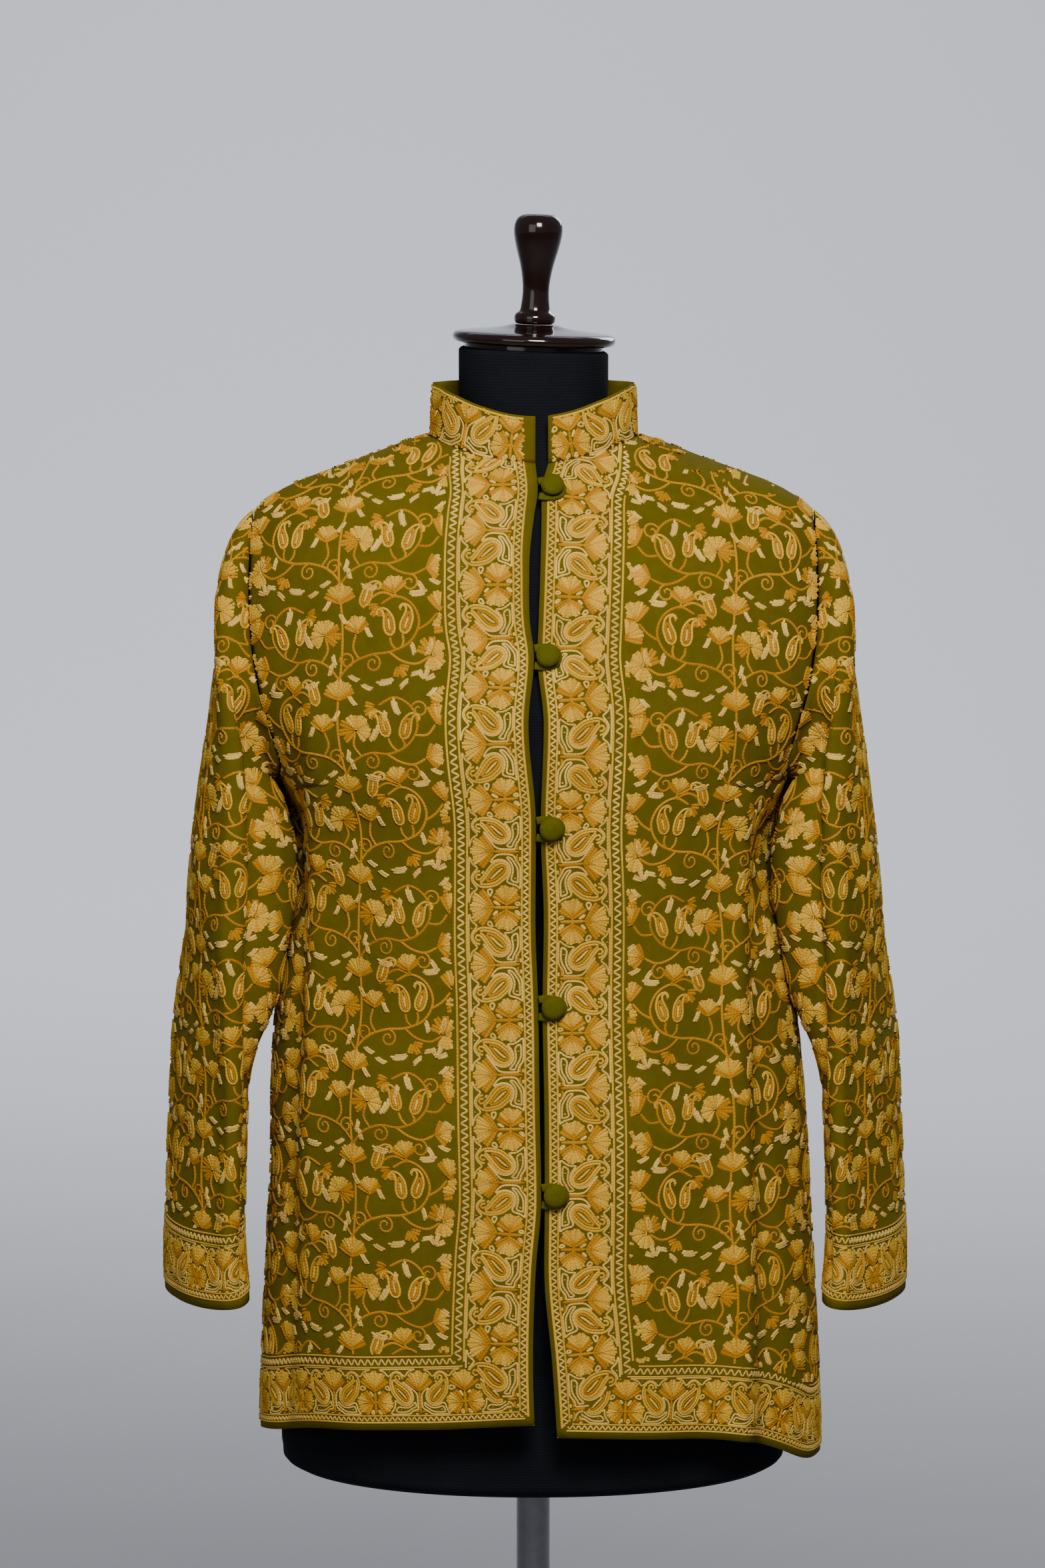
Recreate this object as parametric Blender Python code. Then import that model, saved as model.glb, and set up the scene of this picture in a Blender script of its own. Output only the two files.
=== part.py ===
"""Embroidered stand collar jacket on a limbless dress form, at rest on its round base.

Metres, +Z up, the jacket's front towards -Y. The origin is the centre of the base's underside.
Heights on the jacket and the form are given as a drop below the top of the form's neck.
"Right" and "left" are the wearer's, so the right front lies at -X.
"""

import math
from collections import namedtuple

import bmesh
import bpy
import numpy as np
from mathutils import Matrix, Vector

MM = 0.001

# ---------------------------------------------------------------- driving dimensions
NECK_TOP = 1.500  # height of the form's neck, under the cap
CLOTH = 2.0 * MM  # embroidered wool
COLLAR_CLOTH = 2.4 * MM
SEAM_GAP = 0.4 * MM
EASE = 0.3 * MM  # between pieces that rest on each other

CAP_LEAN = math.radians(2.3)  # the cap and the finial tip a little to the wearer's left
CAP_TURNS = 40

POLE_RADIUS = 12.5 * MM
BASE_RADIUS = 180.0 * MM
BASE_THICKNESS = 10.0 * MM
HUB_HEIGHT = 46.0 * MM
HUB_RADIUS = 30.0 * MM

BUTTON_RADIUS = 8.6 * MM
BUTTON_HEIGHT = 5.2 * MM
SHANK_RADIUS = 2.6 * MM
BUTTON_INSET = 7.4 * MM  # from the left front's edge
BUTTON_DROPS = (96.0, 212.0, 333.0, 462.0, 597.0)
LOOP_CORD = 4.2 * MM
LOOP_RADIUS = 6.6 * MM  # centre line of the cord round the shank
LOOP_END = 0.5 * MM  # between the cord's ends and the right front's edge
LOOP_TURN = math.radians(200)  # how much of the shank's circle the cord goes round
LOOP_STEPS = 8

NECKLINE_WIDTH = 75.0  # half width in plan, mm
NECK_POINT_DROP = 62.0
NECK_FRONT_DROP = 78.0
NECK_BACK_DROP = 66.0
COLLAR_LIFT = 0.7  # between the collar's base and the panels' neckline
COLLAR_TOP_DROP = 25.0
COLLAR_FRONT_FALL = 20.0  # how far the collar's top falls to its front ends
COLLAR_LEAN = 0.03
SHOULDER_DROP = 118.0
UNDERARM_DROP = 312.0

# ---------------------------------------------------------------- tables, in mm
# One ring of the jacket's body: half width, depth of the front and the back, how square the ring
# is (power), how full its corners are (fullness, 0.5 is round), and how far it hangs off centre.
BodyRing = namedtuple("BodyRing", "drop half front back power fullness shift")
BODY = (
    BodyRing(60, 74, 42, 52, 2.00, 0.62, 0.0),
    BodyRing(62, 78, 46, 55, 2.00, 0.62, 0.0),
    BodyRing(66, 91, 54, 62, 2.00, 0.62, 0.0),
    BodyRing(71, 104, 60, 65, 1.90, 0.64, 0.0),
    BodyRing(78, 122, 68, 69, 1.80, 0.66, 0.0),
    BodyRing(86, 144, 76, 74, 1.80, 0.66, 0.0),
    BodyRing(96, 171, 84, 80, 1.80, 0.66, 0.0),
    BodyRing(106, 190, 90, 85, 1.85, 0.64, 0.0),
    BodyRing(118, 204, 95, 90, 1.90, 0.62, 0.0),
    BodyRing(135, 211, 101, 95, 2.00, 0.58, 0.0),
    BodyRing(160, 216, 109, 100, 2.20, 0.54, 0.0),
    BodyRing(200, 219, 119, 104, 2.30, 0.50, 0.0),
    BodyRing(250, 214, 130, 106, 2.40, 0.50, 0.0),
    BodyRing(280, 202, 134, 106, 2.40, 0.50, 0.0),
    BodyRing(300, 192, 136, 104, 2.40, 0.50, 0.0),
    BodyRing(312, 186, 136, 103, 2.40, 0.50, 0.0),
    BodyRing(350, 176, 134, 98, 2.35, 0.50, 0.0),
    BodyRing(390, 176, 133, 95, 2.30, 0.50, 0.5),
    BodyRing(430, 183, 134, 99, 2.25, 0.50, 1.0),
    BodyRing(470, 190, 136, 106, 2.20, 0.50, 1.5),
    BodyRing(530, 196, 140, 116, 2.20, 0.50, 2.5),
    BodyRing(610, 200, 145, 124, 2.15, 0.50, 4.5),
    BodyRing(700, 205, 150, 131, 2.10, 0.50, 4.5),
    BodyRing(790, 209, 154, 136, 2.10, 0.50, 5.0),
    BodyRing(830, 210, 155, 138, 2.10, 0.50, 5.0),
)

# Where the two front edges hang, across the centre line.
FrontEdge = namedtuple("FrontEdge", "drop right left")
FRONT_EDGES = (
    FrontEdge(45, 0.4, 12.6),
    FrontEdge(78, 1.2, 10.6),
    FrontEdge(96, 3.0, 5.6),
    FrontEdge(112, 0.6, 5.6),
    FrontEdge(150, -3.2, 4.8),
    FrontEdge(190, -2.6, 3.4),
    FrontEdge(212, 0.2, 2.6),
    FrontEdge(260, -3.8, 7.1),
    FrontEdge(333, 1.6, 5.0),
    FrontEdge(400, 1.2, 7.2),
    FrontEdge(462, 3.2, 6.4),
    FrontEdge(540, 4.3, 7.7),
    FrontEdge(600, 5.4, 8.0),
    FrontEdge(650, 1.6, 7.6),
    FrontEdge(720, -0.5, 13.4),
    FrontEdge(780, 1.2, 17.4),
)

# The armhole seam, from the shoulder point round the arm to the underarm.
Armhole = namedtuple("Armhole", "drop reach")
ARMHOLE = (
    Armhole(118, 204.0),
    Armhole(135, 205.0),
    Armhole(160, 206.0),
    Armhole(200, 205.0),
    Armhole(250, 197.0),
    Armhole(280, 188.5),
    Armhole(300, 183.8),
    Armhole(312, 185.8),
)

# The hem's drop at the front edge, the side seam and the centre back.
Hem = namedtuple("Hem", "edge side back")
HEM_RIGHT = Hem(769, 795, 800)
HEM_LEFT = Hem(775, 817, 800)

# One ring of a sleeve: its outer and inner points, its depth to the front and the back, how far
# its front fold turns in towards the body, how far both folds flare away from the armhole, and how
# far the ring sits to the front.
SleeveRing = namedtuple("SleeveRing", "out out_drop inn inn_drop front back turn flare forward")
SLEEVE = (
    SleeveRing(217.0, 131, 188.5, 319, 56, 52, 0.0, 7.0, 0),
    SleeveRing(225.5, 152, 188.5, 327, 62, 58, 0.0, 5.5, 0),
    SleeveRing(230.0, 182, 188.0, 337, 67, 64, 0.0, 4.0, 0),
    SleeveRing(232.0, 216, 187.0, 349, 71, 69, 0.0, 2.0, 1),
    SleeveRing(237.0, 256, 185.5, 363, 73, 72, 3.0, 0.0, 2),
    SleeveRing(244.0, 305, 185.0, 381, 73, 72, 6.0, 0.0, 3),
    SleeveRing(251.0, 358, 186.5, 403, 71, 70, 9.0, 0.0, 4),
    SleeveRing(257.5, 411, 191.0, 431, 69, 67, 13.0, 0.0, 6),
    SleeveRing(263.0, 460, 197.0, 467, 66, 64, 18.0, 0.0, 8),
    SleeveRing(267.0, 511, 202.0, 512, 63, 61, 22.0, 0.0, 11),
    SleeveRing(270.0, 566, 205.0, 566, 60, 59, 24.0, 0.0, 14),
    SleeveRing(272.5, 620, 207.0, 620, 58, 57, 24.0, 0.0, 17),
    SleeveRing(274.5, 660, 207.5, 657, 57, 56, 24.0, 0.0, 19),
    SleeveRing(276.0, 702, 208.0, 690, 57, 56, 24.0, 0.0, 21),
)
SLEEVE_SHIFT = {"right": -1.0, "left": 3.0}  # how far the whole lower sleeve hangs outwards

# One ring of the dress form's torso and neck.
FormRing = namedtuple("FormRing", "drop half front back power fullness lean")
FORM = (
    FormRing(0.0, 51.5, 51.5, 51.5, 2.0, 0.50, 1.0),
    FormRing(1.2, 53.6, 53.6, 53.6, 2.0, 0.50, 1.0),
    FormRing(4.0, 54.5, 54.5, 54.5, 2.0, 0.50, 0.8),
    FormRing(30.0, 54.5, 54.5, 54.5, 2.0, 0.50, 0.0),
    FormRing(52.0, 55.0, 54.8, 54.0, 2.0, 0.50, 0.0),
    FormRing(62.0, 62.0, 57.0, 54.5, 2.0, 0.52, 0.0),
    FormRing(67.0, 75.0, 58.0, 54.5, 1.8, 0.60, 0.0),
    FormRing(72.0, 88.0, 60.0, 56.0, 1.7, 0.68, 0.0),
    FormRing(80.0, 108.0, 62.0, 60.5, 1.65, 0.70, 0.0),
    FormRing(90.0, 132.0, 69.0, 67.0, 1.7, 0.68, 0.0),
    FormRing(102.0, 156.0, 77.0, 74.0, 1.8, 0.64, 0.0),
    FormRing(116.0, 171.0, 85.0, 81.0, 1.9, 0.60, 0.0),
    FormRing(135.0, 178.0, 92.0, 87.0, 2.0, 0.56, 0.0),
    FormRing(165.0, 179.0, 101.0, 92.0, 2.1, 0.53, 0.0),
    FormRing(210.0, 174.0, 112.0, 96.0, 2.2, 0.50, 0.0),
    FormRing(260.0, 168.0, 123.0, 97.0, 2.3, 0.50, 0.0),
    FormRing(300.0, 162.0, 126.0, 95.0, 2.3, 0.50, 0.0),
    FormRing(345.0, 152.0, 118.0, 90.0, 2.2, 0.50, 0.0),
    FormRing(400.0, 142.0, 104.0, 85.0, 2.1, 0.50, 0.0),
    FormRing(450.0, 146.0, 102.0, 89.0, 2.1, 0.50, 0.0),
    FormRing(520.0, 161.0, 108.0, 100.0, 2.1, 0.50, 0.0),
    FormRing(600.0, 176.0, 114.0, 113.0, 2.1, 0.50, 0.0),
    FormRing(690.0, 185.0, 118.0, 121.0, 2.1, 0.50, 0.0),
    FormRing(790.0, 188.0, 119.0, 122.0, 2.1, 0.50, 0.0),
    FormRing(815.0, 187.0, 118.0, 121.0, 2.1, 0.50, 0.0),
    FormRing(825.0, 184.0, 115.0, 118.0, 2.1, 0.50, 0.0),
    FormRing(829.0, 177.0, 108.0, 111.0, 2.1, 0.50, 0.0),
)

# Turned profiles: radius and height above the foot of the piece, mm.
Turning = namedtuple("Turning", "radius height")
CAP_PROFILE = (
    Turning(50.5, 0.0),
    Turning(50.5, 3.0),
    Turning(56.0, 3.0),
    Turning(58.8, 4.6),
    Turning(59.5, 7.0),
    Turning(58.6, 9.6),
    Turning(55.5, 11.4),
    Turning(46.0, 12.6),
    Turning(34.0, 13.6),
    Turning(24.0, 15.0),
    Turning(16.6, 17.2),
)
FINIAL_PROFILE = (
    Turning(13.0, 0.0),
    Turning(14.6, 1.6),
    Turning(15.0, 4.4),
    Turning(14.2, 7.4),
    Turning(11.6, 9.4),
    Turning(10.6, 13.0),
    Turning(9.8, 20.0),
    Turning(9.7, 28.0),
    Turning(11.0, 38.0),
    Turning(13.6, 50.0),
    Turning(16.4, 60.0),
    Turning(17.8, 70.0),
    Turning(17.2, 76.0),
    Turning(15.2, 80.0),
    Turning(12.6, 82.4),
    Turning(11.0, 82.8),
)

# ---------------------------------------------------------------- finishes
Finish = namedtuple("Finish", "colour roughness metallic")
OLIVE_EMBROIDERED = Finish((0.42, 0.27, 0.035, 1.0), 0.85, 0.0)
OLIVE_PLAIN = Finish((0.11, 0.10, 0.012, 1.0), 0.90, 0.0)
NAVY_JERSEY = Finish((0.008, 0.009, 0.012, 1.0), 0.95, 0.0)
OXBLOOD_LACQUER = Finish((0.012, 0.003, 0.003, 1.0), 0.12, 0.0)
CHROME = Finish((0.60, 0.60, 0.61, 1.0), 0.12, 1.0)
BLACK_ENAMEL = Finish((0.012, 0.012, 0.013, 1.0), 0.35, 0.0)


def material(name, finish):
    """A Principled material with this finish."""
    made = bpy.data.materials.get(name)
    if made:
        return made
    made = bpy.data.materials.new(name)
    made.use_nodes = True
    shader = made.node_tree.nodes["Principled BSDF"]
    shader.inputs["Base Color"].default_value = finish.colour
    shader.inputs["Roughness"].default_value = finish.roughness
    shader.inputs["Metallic"].default_value = finish.metallic
    return made


def smooth_table(rows, column, drop):
    """The value of a table's column at this drop, on a smooth curve through its rows."""
    drops = np.array([row.drop for row in rows], float)
    values = np.array([getattr(row, column) for row in rows], float)
    slopes = np.gradient(values, drops)
    # A row that is an extreme of the column gets a level tangent, so nothing overshoots.
    steps = np.diff(values)
    turning = np.flatnonzero(steps[:-1] * steps[1:] <= 0) + 1
    slopes[turning] = 0.0
    drop = min(max(drop, drops[0]), drops[-1])
    i = min(int(np.searchsorted(drops, drop, side="right")) - 1, len(drops) - 2)
    width = drops[i + 1] - drops[i]
    t = (drop - drops[i]) / width
    start = (2 * t**3 - 3 * t**2 + 1) * values[i] + (t**3 - 2 * t**2 + t) * width * slopes[i]
    end = (3 * t**2 - 2 * t**3) * values[i + 1] + (t**3 - t**2) * width * slopes[i + 1]
    return start + end


def ring_point(rows, drop, angle, shift=0.0):
    """A point of a body's or a form's ring, mm. Angle 0 is centre front and 90 the left side."""
    half = smooth_table(rows, "half", drop)
    power = smooth_table(rows, "power", drop)
    fullness = smooth_table(rows, "fullness", drop)
    across = math.sin(angle)
    depth = max(0.0, 1.0 - abs(across) ** power) ** fullness
    if math.cos(angle) >= 0:
        y = -smooth_table(rows, "front", drop) * depth
    else:
        y = smooth_table(rows, "back", drop) * depth
    return Vector((shift + half * across, y, -drop))


def placed(point_mm):
    """A point in mm about the neck's top, in world metres."""
    return Vector((point_mm[0] * MM, point_mm[1] * MM, NECK_TOP + point_mm[2] * MM))


def body_point(drop, angle):
    return placed(ring_point(BODY, drop, angle, smooth_table(BODY, "shift", drop)))


def body_inside(drop, angle, thickness):
    """The point of the cloth's inner side behind body_point: the same place, a thickness in."""
    down = body_point(drop + 1.0, angle) - body_point(drop - 1.0, angle)
    across = body_point(drop, angle + 0.012) - body_point(drop, angle - 0.012)
    return body_point(drop, angle) + across.cross(down).normalized() * thickness


def angle_at(drop, x_mm):
    """The angle, within a quarter turn of the centre front, where the body's ring has this x."""
    shift = smooth_table(BODY, "shift", drop)
    half = smooth_table(BODY, "half", drop)
    return math.asin(min(1.0, max(-1.0, (x_mm - shift) / half)))


def neckline_reach(drop, lowest):
    """How far out the neckline is at this drop: it falls from the neck point to its middle."""
    share = (drop - NECK_POINT_DROP) / (lowest - NECK_POINT_DROP)
    return NECKLINE_WIDTH * math.sqrt(max(0.0, 1.0 - share))


def neckline_drop(across, lowest):
    """The neckline's drop this far from the centre line."""
    share = min(1.0, abs(across) / NECKLINE_WIDTH)
    return NECK_POINT_DROP + (lowest - NECK_POINT_DROP) * (1.0 - share**2)


def outer_angle(drop):
    """The angle where a panel ends: shoulder seam, armhole or side seam."""
    if drop <= SHOULDER_DROP or drop >= UNDERARM_DROP:
        return math.pi / 2
    reach = smooth_table(ARMHOLE, "reach", drop)
    half = smooth_table(BODY, "half", drop)
    return math.asin(min(1.0, reach / half))


UPPER_DROPS = (64, 67, 71, 75, 79, 87, 96, 106, 118, 135, 160, 200, 250, 280, 300, 312)
LOWER_SHARES = (0.08, 0.16, 0.25, 0.34, 0.46, 0.60, 0.73, 0.86, 1.0)


def row_drop(row, hem):
    """The drop of a row of a panel's grid on a column whose hem is at the given drop."""
    if row < len(UPPER_DROPS):
        return UPPER_DROPS[row]
    share = LOWER_SHARES[row - len(UPPER_DROPS)]
    return UNDERARM_DROP + share * (hem - UNDERARM_DROP)


ROWS = len(UPPER_DROPS) + len(LOWER_SHARES)


def kept_apart(point, facing):
    """The point, moved if it must be so that half a seam's gap stays before the seam at y = 0."""
    if facing * point.y < SEAM_GAP / 2:
        point.y = facing * SEAM_GAP / 2
    return point


def front_grid(side, columns):
    """The outer and inner rows of a front panel, from the neck down. side is -1 right, +1 left."""
    hem_ends = HEM_RIGHT if side < 0 else HEM_LEFT
    edge_name = "right" if side < 0 else "left"
    outer, inner = [], []
    for row in range(ROWS):
        outer.append([])
        inner.append([])
        for column in range(columns + 1):
            share = column / columns
            hem = hem_ends.edge + (hem_ends.side - hem_ends.edge) * share**1.6
            drop = row_drop(row, hem)
            if drop < NECK_FRONT_DROP:
                start = math.asin(neckline_reach(drop, NECK_FRONT_DROP)
                                  / smooth_table(BODY, "half", drop))
            else:
                start = side * angle_at(drop, smooth_table(FRONT_EDGES, edge_name, drop))
            angle = side * (start + (outer_angle(drop) - start) * share)
            outer[-1].append(kept_apart(body_point(drop, angle), -1))
            inner[-1].append(kept_apart(body_inside(drop, angle, CLOTH), -1))
    return outer, inner


def back_grid(columns):
    """The outer and inner rows of the back, from the neck down and from right to left."""
    outer, inner = [], []
    for row in range(ROWS):
        outer.append([])
        inner.append([])
        for column in range(columns + 1):
            share = 2 * column / columns - 1  # +1 at the left side seam, -1 at the right
            side_hem = HEM_LEFT.side if share > 0 else HEM_RIGHT.side
            hem = HEM_LEFT.back + (side_hem - HEM_LEFT.back) * abs(share) ** 3
            drop = row_drop(row, hem)
            if row == 0:
                across = smooth_table(BODY, "half", drop) * math.sin(share * math.pi / 2)
                drop = max(drop, neckline_drop(across, NECK_BACK_DROP))
            angle = math.pi - outer_angle(drop) * share
            outer[-1].append(kept_apart(body_point(drop, angle), 1))
            inner[-1].append(kept_apart(body_inside(drop, angle, CLOTH), 1))
    return outer, inner


def walled(name, outer, inner, tube=False):
    """A closed wall between two sheets, each given as rows of points that run down and across."""
    mesh = bmesh.new()
    out = [[mesh.verts.new(point) for point in row] for row in outer]
    inn = [[mesh.verts.new(point) for point in row] for row in inner]
    last_row, columns = len(out) - 1, len(out[0])
    spans = columns if tube else columns - 1
    for i in range(spans):
        j = (i + 1) % columns
        for k in range(last_row):
            mesh.faces.new((out[k][i], out[k + 1][i], out[k + 1][j], out[k][j]))
            mesh.faces.new((inn[k][i], inn[k][j], inn[k + 1][j], inn[k + 1][i]))
        mesh.faces.new((out[0][i], out[0][j], inn[0][j], inn[0][i]))
        mesh.faces.new((out[last_row][i], inn[last_row][i], inn[last_row][j], out[last_row][j]))
    if not tube:
        for k in range(last_row):
            mesh.faces.new((out[k][0], inn[k][0], inn[k + 1][0], out[k + 1][0]))
            mesh.faces.new((out[k][-1], out[k + 1][-1], inn[k + 1][-1], inn[k][-1]))
    bmesh.ops.recalc_face_normals(mesh, faces=mesh.faces)
    return finished(name, mesh)


def finished(name, mesh):
    """An object from a bmesh, smooth but for its sharp edges."""
    data = bpy.data.meshes.new(name)
    mesh.to_mesh(data)
    mesh.free()
    data.shade_smooth()
    data.set_sharp_from_angle(angle=math.radians(40))
    made = bpy.data.objects.new(name, data)
    bpy.context.scene.collection.objects.link(made)
    return made


def dress(made, material_name, finish):
    made.data.materials.append(material(material_name, finish))
    return made


def make_front(name, side):
    return dress(walled(name, *front_grid(side, 10)), "embroidered_wool", OLIVE_EMBROIDERED)


def make_back():
    return dress(walled("back", *back_grid(20)), "embroidered_wool", OLIVE_EMBROIDERED)


def armhole_turns():
    """How far round the sleeve each point lies: 0 at the shoulder point, over the front, and back.

    The points lie on the panels' rows, so that both sides of the seam have the same corners.
    """
    drops = [drop for drop in UPPER_DROPS if SHOULDER_DROP <= drop <= UNDERARM_DROP]
    fall = [(drop - SHOULDER_DROP) / (UNDERARM_DROP - SHOULDER_DROP) for drop in drops]
    front = [math.acos(1.0 - 2.0 * share) for share in fall]
    return front + [2 * math.pi - turn for turn in front[-2:0:-1]]


def armhole_point(turn, side):
    drop = SHOULDER_DROP + (0.5 - 0.5 * math.cos(turn)) * (UNDERARM_DROP - SHOULDER_DROP)
    angle = outer_angle(drop) * side
    return ring_point(BODY, drop, angle if turn < math.pi else math.pi - angle)


def sleeve_rings(side):
    """The rings of a sleeve in mm: the armhole, eased outwards, then those of the table."""
    turns = armhole_turns()
    shift_end = SLEEVE_SHIFT["right" if side < 0 else "left"]
    outset = Vector((side * 2.2 * SEAM_GAP / MM, 0.0, 0.0))
    rings = [[armhole_point(turn, side) + outset for turn in turns]]
    for row in SLEEVE:
        shift = shift_end * (row.out_drop - SHOULDER_DROP) / (SLEEVE[-1].out_drop - SHOULDER_DROP)
        outer = Vector((side * (row.out + shift), 0.0, -row.out_drop))
        inner = Vector((side * (row.inn + shift), 0.0, -row.inn_drop))
        middle = (outer + inner) / 2
        reach = (outer - inner) / 2
        # The turned fold takes its share of the width that shows.
        reach *= math.sqrt(max(0.05, 1.0 - (row.turn / reach.length) ** 2))
        ring = []
        for turn in turns:
            depth = row.front if turn < math.pi else row.back
            fold = Vector((-side * row.turn, -depth, 0.0))
            point = middle + reach * math.cos(turn) + fold * math.sin(turn)
            point.x += side * row.flare * abs(math.sin(turn))
            point.y -= row.forward
            ring.append(point)
        rings.append(ring)
    return rings


def tube_insides(rings, thickness):
    """The inner rings of a tube. The first ring's wall stands square to the body's side."""
    inside = []
    count = len(rings[0])
    for k, ring in enumerate(rings):
        above, below = rings[max(k - 1, 0)], rings[min(k + 1, len(rings) - 1)]
        middle = sum(ring, Vector()) / count
        moved = []
        for i, point in enumerate(ring):
            if k == 0:
                inward = middle - point
                inward.x = 0.0
            else:
                around = ring[(i + 1) % count] - ring[i - 1]
                inward = around.cross(below[i] - above[i])
                if inward.dot(middle - point) < 0:
                    inward.negate()
            moved.append(point + inward.normalized() * thickness)
        inside.append(moved)
    return inside


def make_sleeve(name, side):
    rings = [[placed(point) for point in ring] for ring in sleeve_rings(side)]
    made = walled(name, rings, tube_insides(rings, CLOTH), tube=True)
    return dress(made, "embroidered_wool", OLIVE_EMBROIDERED)


def collar_point(turn, share, inset):
    """A point of the collar, mm. turn 0 is centre front, and share runs from base to top."""
    facing_front = math.cos(turn) > 0
    lowest = NECK_FRONT_DROP if facing_front else NECK_BACK_DROP
    reach = NECKLINE_WIDTH * math.sin(turn)
    base_drop = neckline_drop(reach, lowest)
    angle = math.asin(reach / smooth_table(BODY, "half", base_drop))
    base = ring_point(BODY, base_drop, angle if facing_front else math.pi - angle)
    fall = COLLAR_FRONT_FALL * abs(math.cos(turn)) ** 2.6 if facing_front else 0.0
    up = (base_drop - COLLAR_LIFT - COLLAR_TOP_DROP - fall) * share + COLLAR_LIFT
    inward = Vector((-base.x, -base.y, 0.0)).normalized()
    return base + inward * (inset + COLLAR_LEAN * up) + Vector((0.0, 0.0, up))


def make_collar():
    columns = 26
    left_edge = smooth_table(FRONT_EDGES, "left", NECK_FRONT_DROP)
    right_edge = smooth_table(FRONT_EDGES, "right", NECK_FRONT_DROP)
    start = math.asin(left_edge / NECKLINE_WIDTH)
    end = 2 * math.pi + math.asin(right_edge / NECKLINE_WIDTH)
    turns = [start + (end - start) * i / columns for i in range(columns + 1)]
    shares = (1.0, 0.66, 0.33, 0.0)
    outer, inner = ([[placed(collar_point(turn, share, inset)) for turn in turns]
                     for share in shares] for inset in (0.0, COLLAR_CLOTH / MM))
    return dress(walled("collar", outer, inner), "embroidered_wool", OLIVE_EMBROIDERED)


def front_frame(drop, inset):
    """Where a button sits on the left front: its place, and the outward and upward directions."""
    def at(edge_offset, lower):
        x = smooth_table(FRONT_EDGES, "left", drop) + edge_offset
        return body_point(drop + lower, angle_at(drop + lower, x))

    inset_mm = inset / MM
    here = at(inset_mm, 0.0)
    up = (at(inset_mm, -4.0) - at(inset_mm, 4.0)).normalized()
    across = (at(inset_mm + 3.0, 0.0) - at(inset_mm - 3.0, 0.0)).normalized()
    out = across.cross(up).normalized()
    return here, out, out.cross(across).normalized()


def turned(name, profile, segments):
    """A solid turned about Z from (radius, height) rows in metres, its ends closed."""
    mesh = bmesh.new()
    rings = []
    for row in profile:
        ring = []
        for i in range(segments):
            turn = 2 * math.pi * i / segments
            ring.append(mesh.verts.new((row.radius * math.cos(turn),
                                        row.radius * math.sin(turn), row.height)))
        rings.append(ring)
    for lower, upper in zip(rings, rings[1:]):
        for i in range(segments):
            j = (i + 1) % segments
            mesh.faces.new((lower[i], lower[j], upper[j], upper[i]))
    mesh.faces.new(rings[0][::-1])
    mesh.faces.new(rings[-1])
    return finished(name, mesh)


def scaled_profile(rows):
    return [Turning(row.radius * MM, row.height * MM) for row in rows]


def make_button(name, drop):
    """A domed, cloth covered button on its shank, standing off the left front."""
    foot = EASE
    rim = foot + LOOP_CORD + 1.0 * MM
    shank = [Turning(SHANK_RADIUS, foot), Turning(SHANK_RADIUS, rim)]
    dome = [Turning(BUTTON_RADIUS - 1.0 * MM, rim), Turning(BUTTON_RADIUS, rim + 1.0 * MM)]
    for i in range(1, 5):
        rise = math.radians(20 * i)
        dome.append(Turning(BUTTON_RADIUS * math.cos(rise),
                            rim + 1.0 * MM + (BUTTON_HEIGHT - 1.0 * MM) * math.sin(rise)))
    made = turned(name, shank + dome, 16)
    here, out, up = front_frame(drop, BUTTON_INSET)
    across = up.cross(out)
    made.matrix_world = Matrix.LocRotScale(
        here, Matrix((across, up, out)).transposed().to_quaternion(), None)
    return dress(made, "plain_wool", OLIVE_PLAIN)


def make_loop(name, drop):
    """A cloth cord from behind the right front's edge, round a button's shank and back."""
    here, out, up = front_frame(drop, BUTTON_INSET)
    across = up.cross(out).normalized()
    right_edge = smooth_table(FRONT_EDGES, "right", drop) * MM
    button_x = smooth_table(FRONT_EDGES, "left", drop) * MM + BUTTON_INSET
    start = LOOP_END - (button_x - right_edge)
    height = 2 * EASE + LOOP_CORD / 2
    route = [(start, 0.92 * LOOP_RADIUS), (start * 0.6, LOOP_RADIUS)]
    for i in range(LOOP_STEPS + 1):
        turn = LOOP_TURN * (0.5 - i / LOOP_STEPS)
        route.append((LOOP_RADIUS * math.cos(turn), LOOP_RADIUS * math.sin(turn)))
    route += [(start * 0.6, -LOOP_RADIUS), (start, -0.92 * LOOP_RADIUS)]
    data = bpy.data.curves.new(name, "CURVE")
    data.dimensions = "3D"
    data.bevel_depth = LOOP_CORD / 2
    data.bevel_resolution = 2
    data.use_fill_caps = True
    spline = data.splines.new("POLY")
    spline.points.add(len(route) - 1)
    for point, (x, y) in zip(spline.points, route):
        place = here + across * x + up * y + out * height
        point.co = (*place, 1.0)
    made = bpy.data.objects.new(name, data)
    bpy.context.scene.collection.objects.link(made)
    return dress(made, "plain_wool", OLIVE_PLAIN)


def make_form():
    around = 32
    lean_rise = math.tan(CAP_LEAN)
    rows = []
    for row in FORM:
        ring = []
        for i in range(around):
            point = ring_point(FORM, row.drop, 2 * math.pi * i / around)
            point.z -= point.x * lean_rise * row.lean
            ring.append(placed(point))
        rows.append(ring)
    mesh = bmesh.new()
    lines = [[mesh.verts.new(point) for point in row] for row in rows]
    for upper, lower in zip(lines, lines[1:]):
        for i in range(around):
            j = (i + 1) % around
            mesh.faces.new((upper[i], lower[i], lower[j], upper[j]))
    mesh.faces.new(lines[0])
    mesh.faces.new(lines[-1][::-1])
    return dress(finished("form_torso", mesh), "navy_jersey", NAVY_JERSEY)


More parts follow.
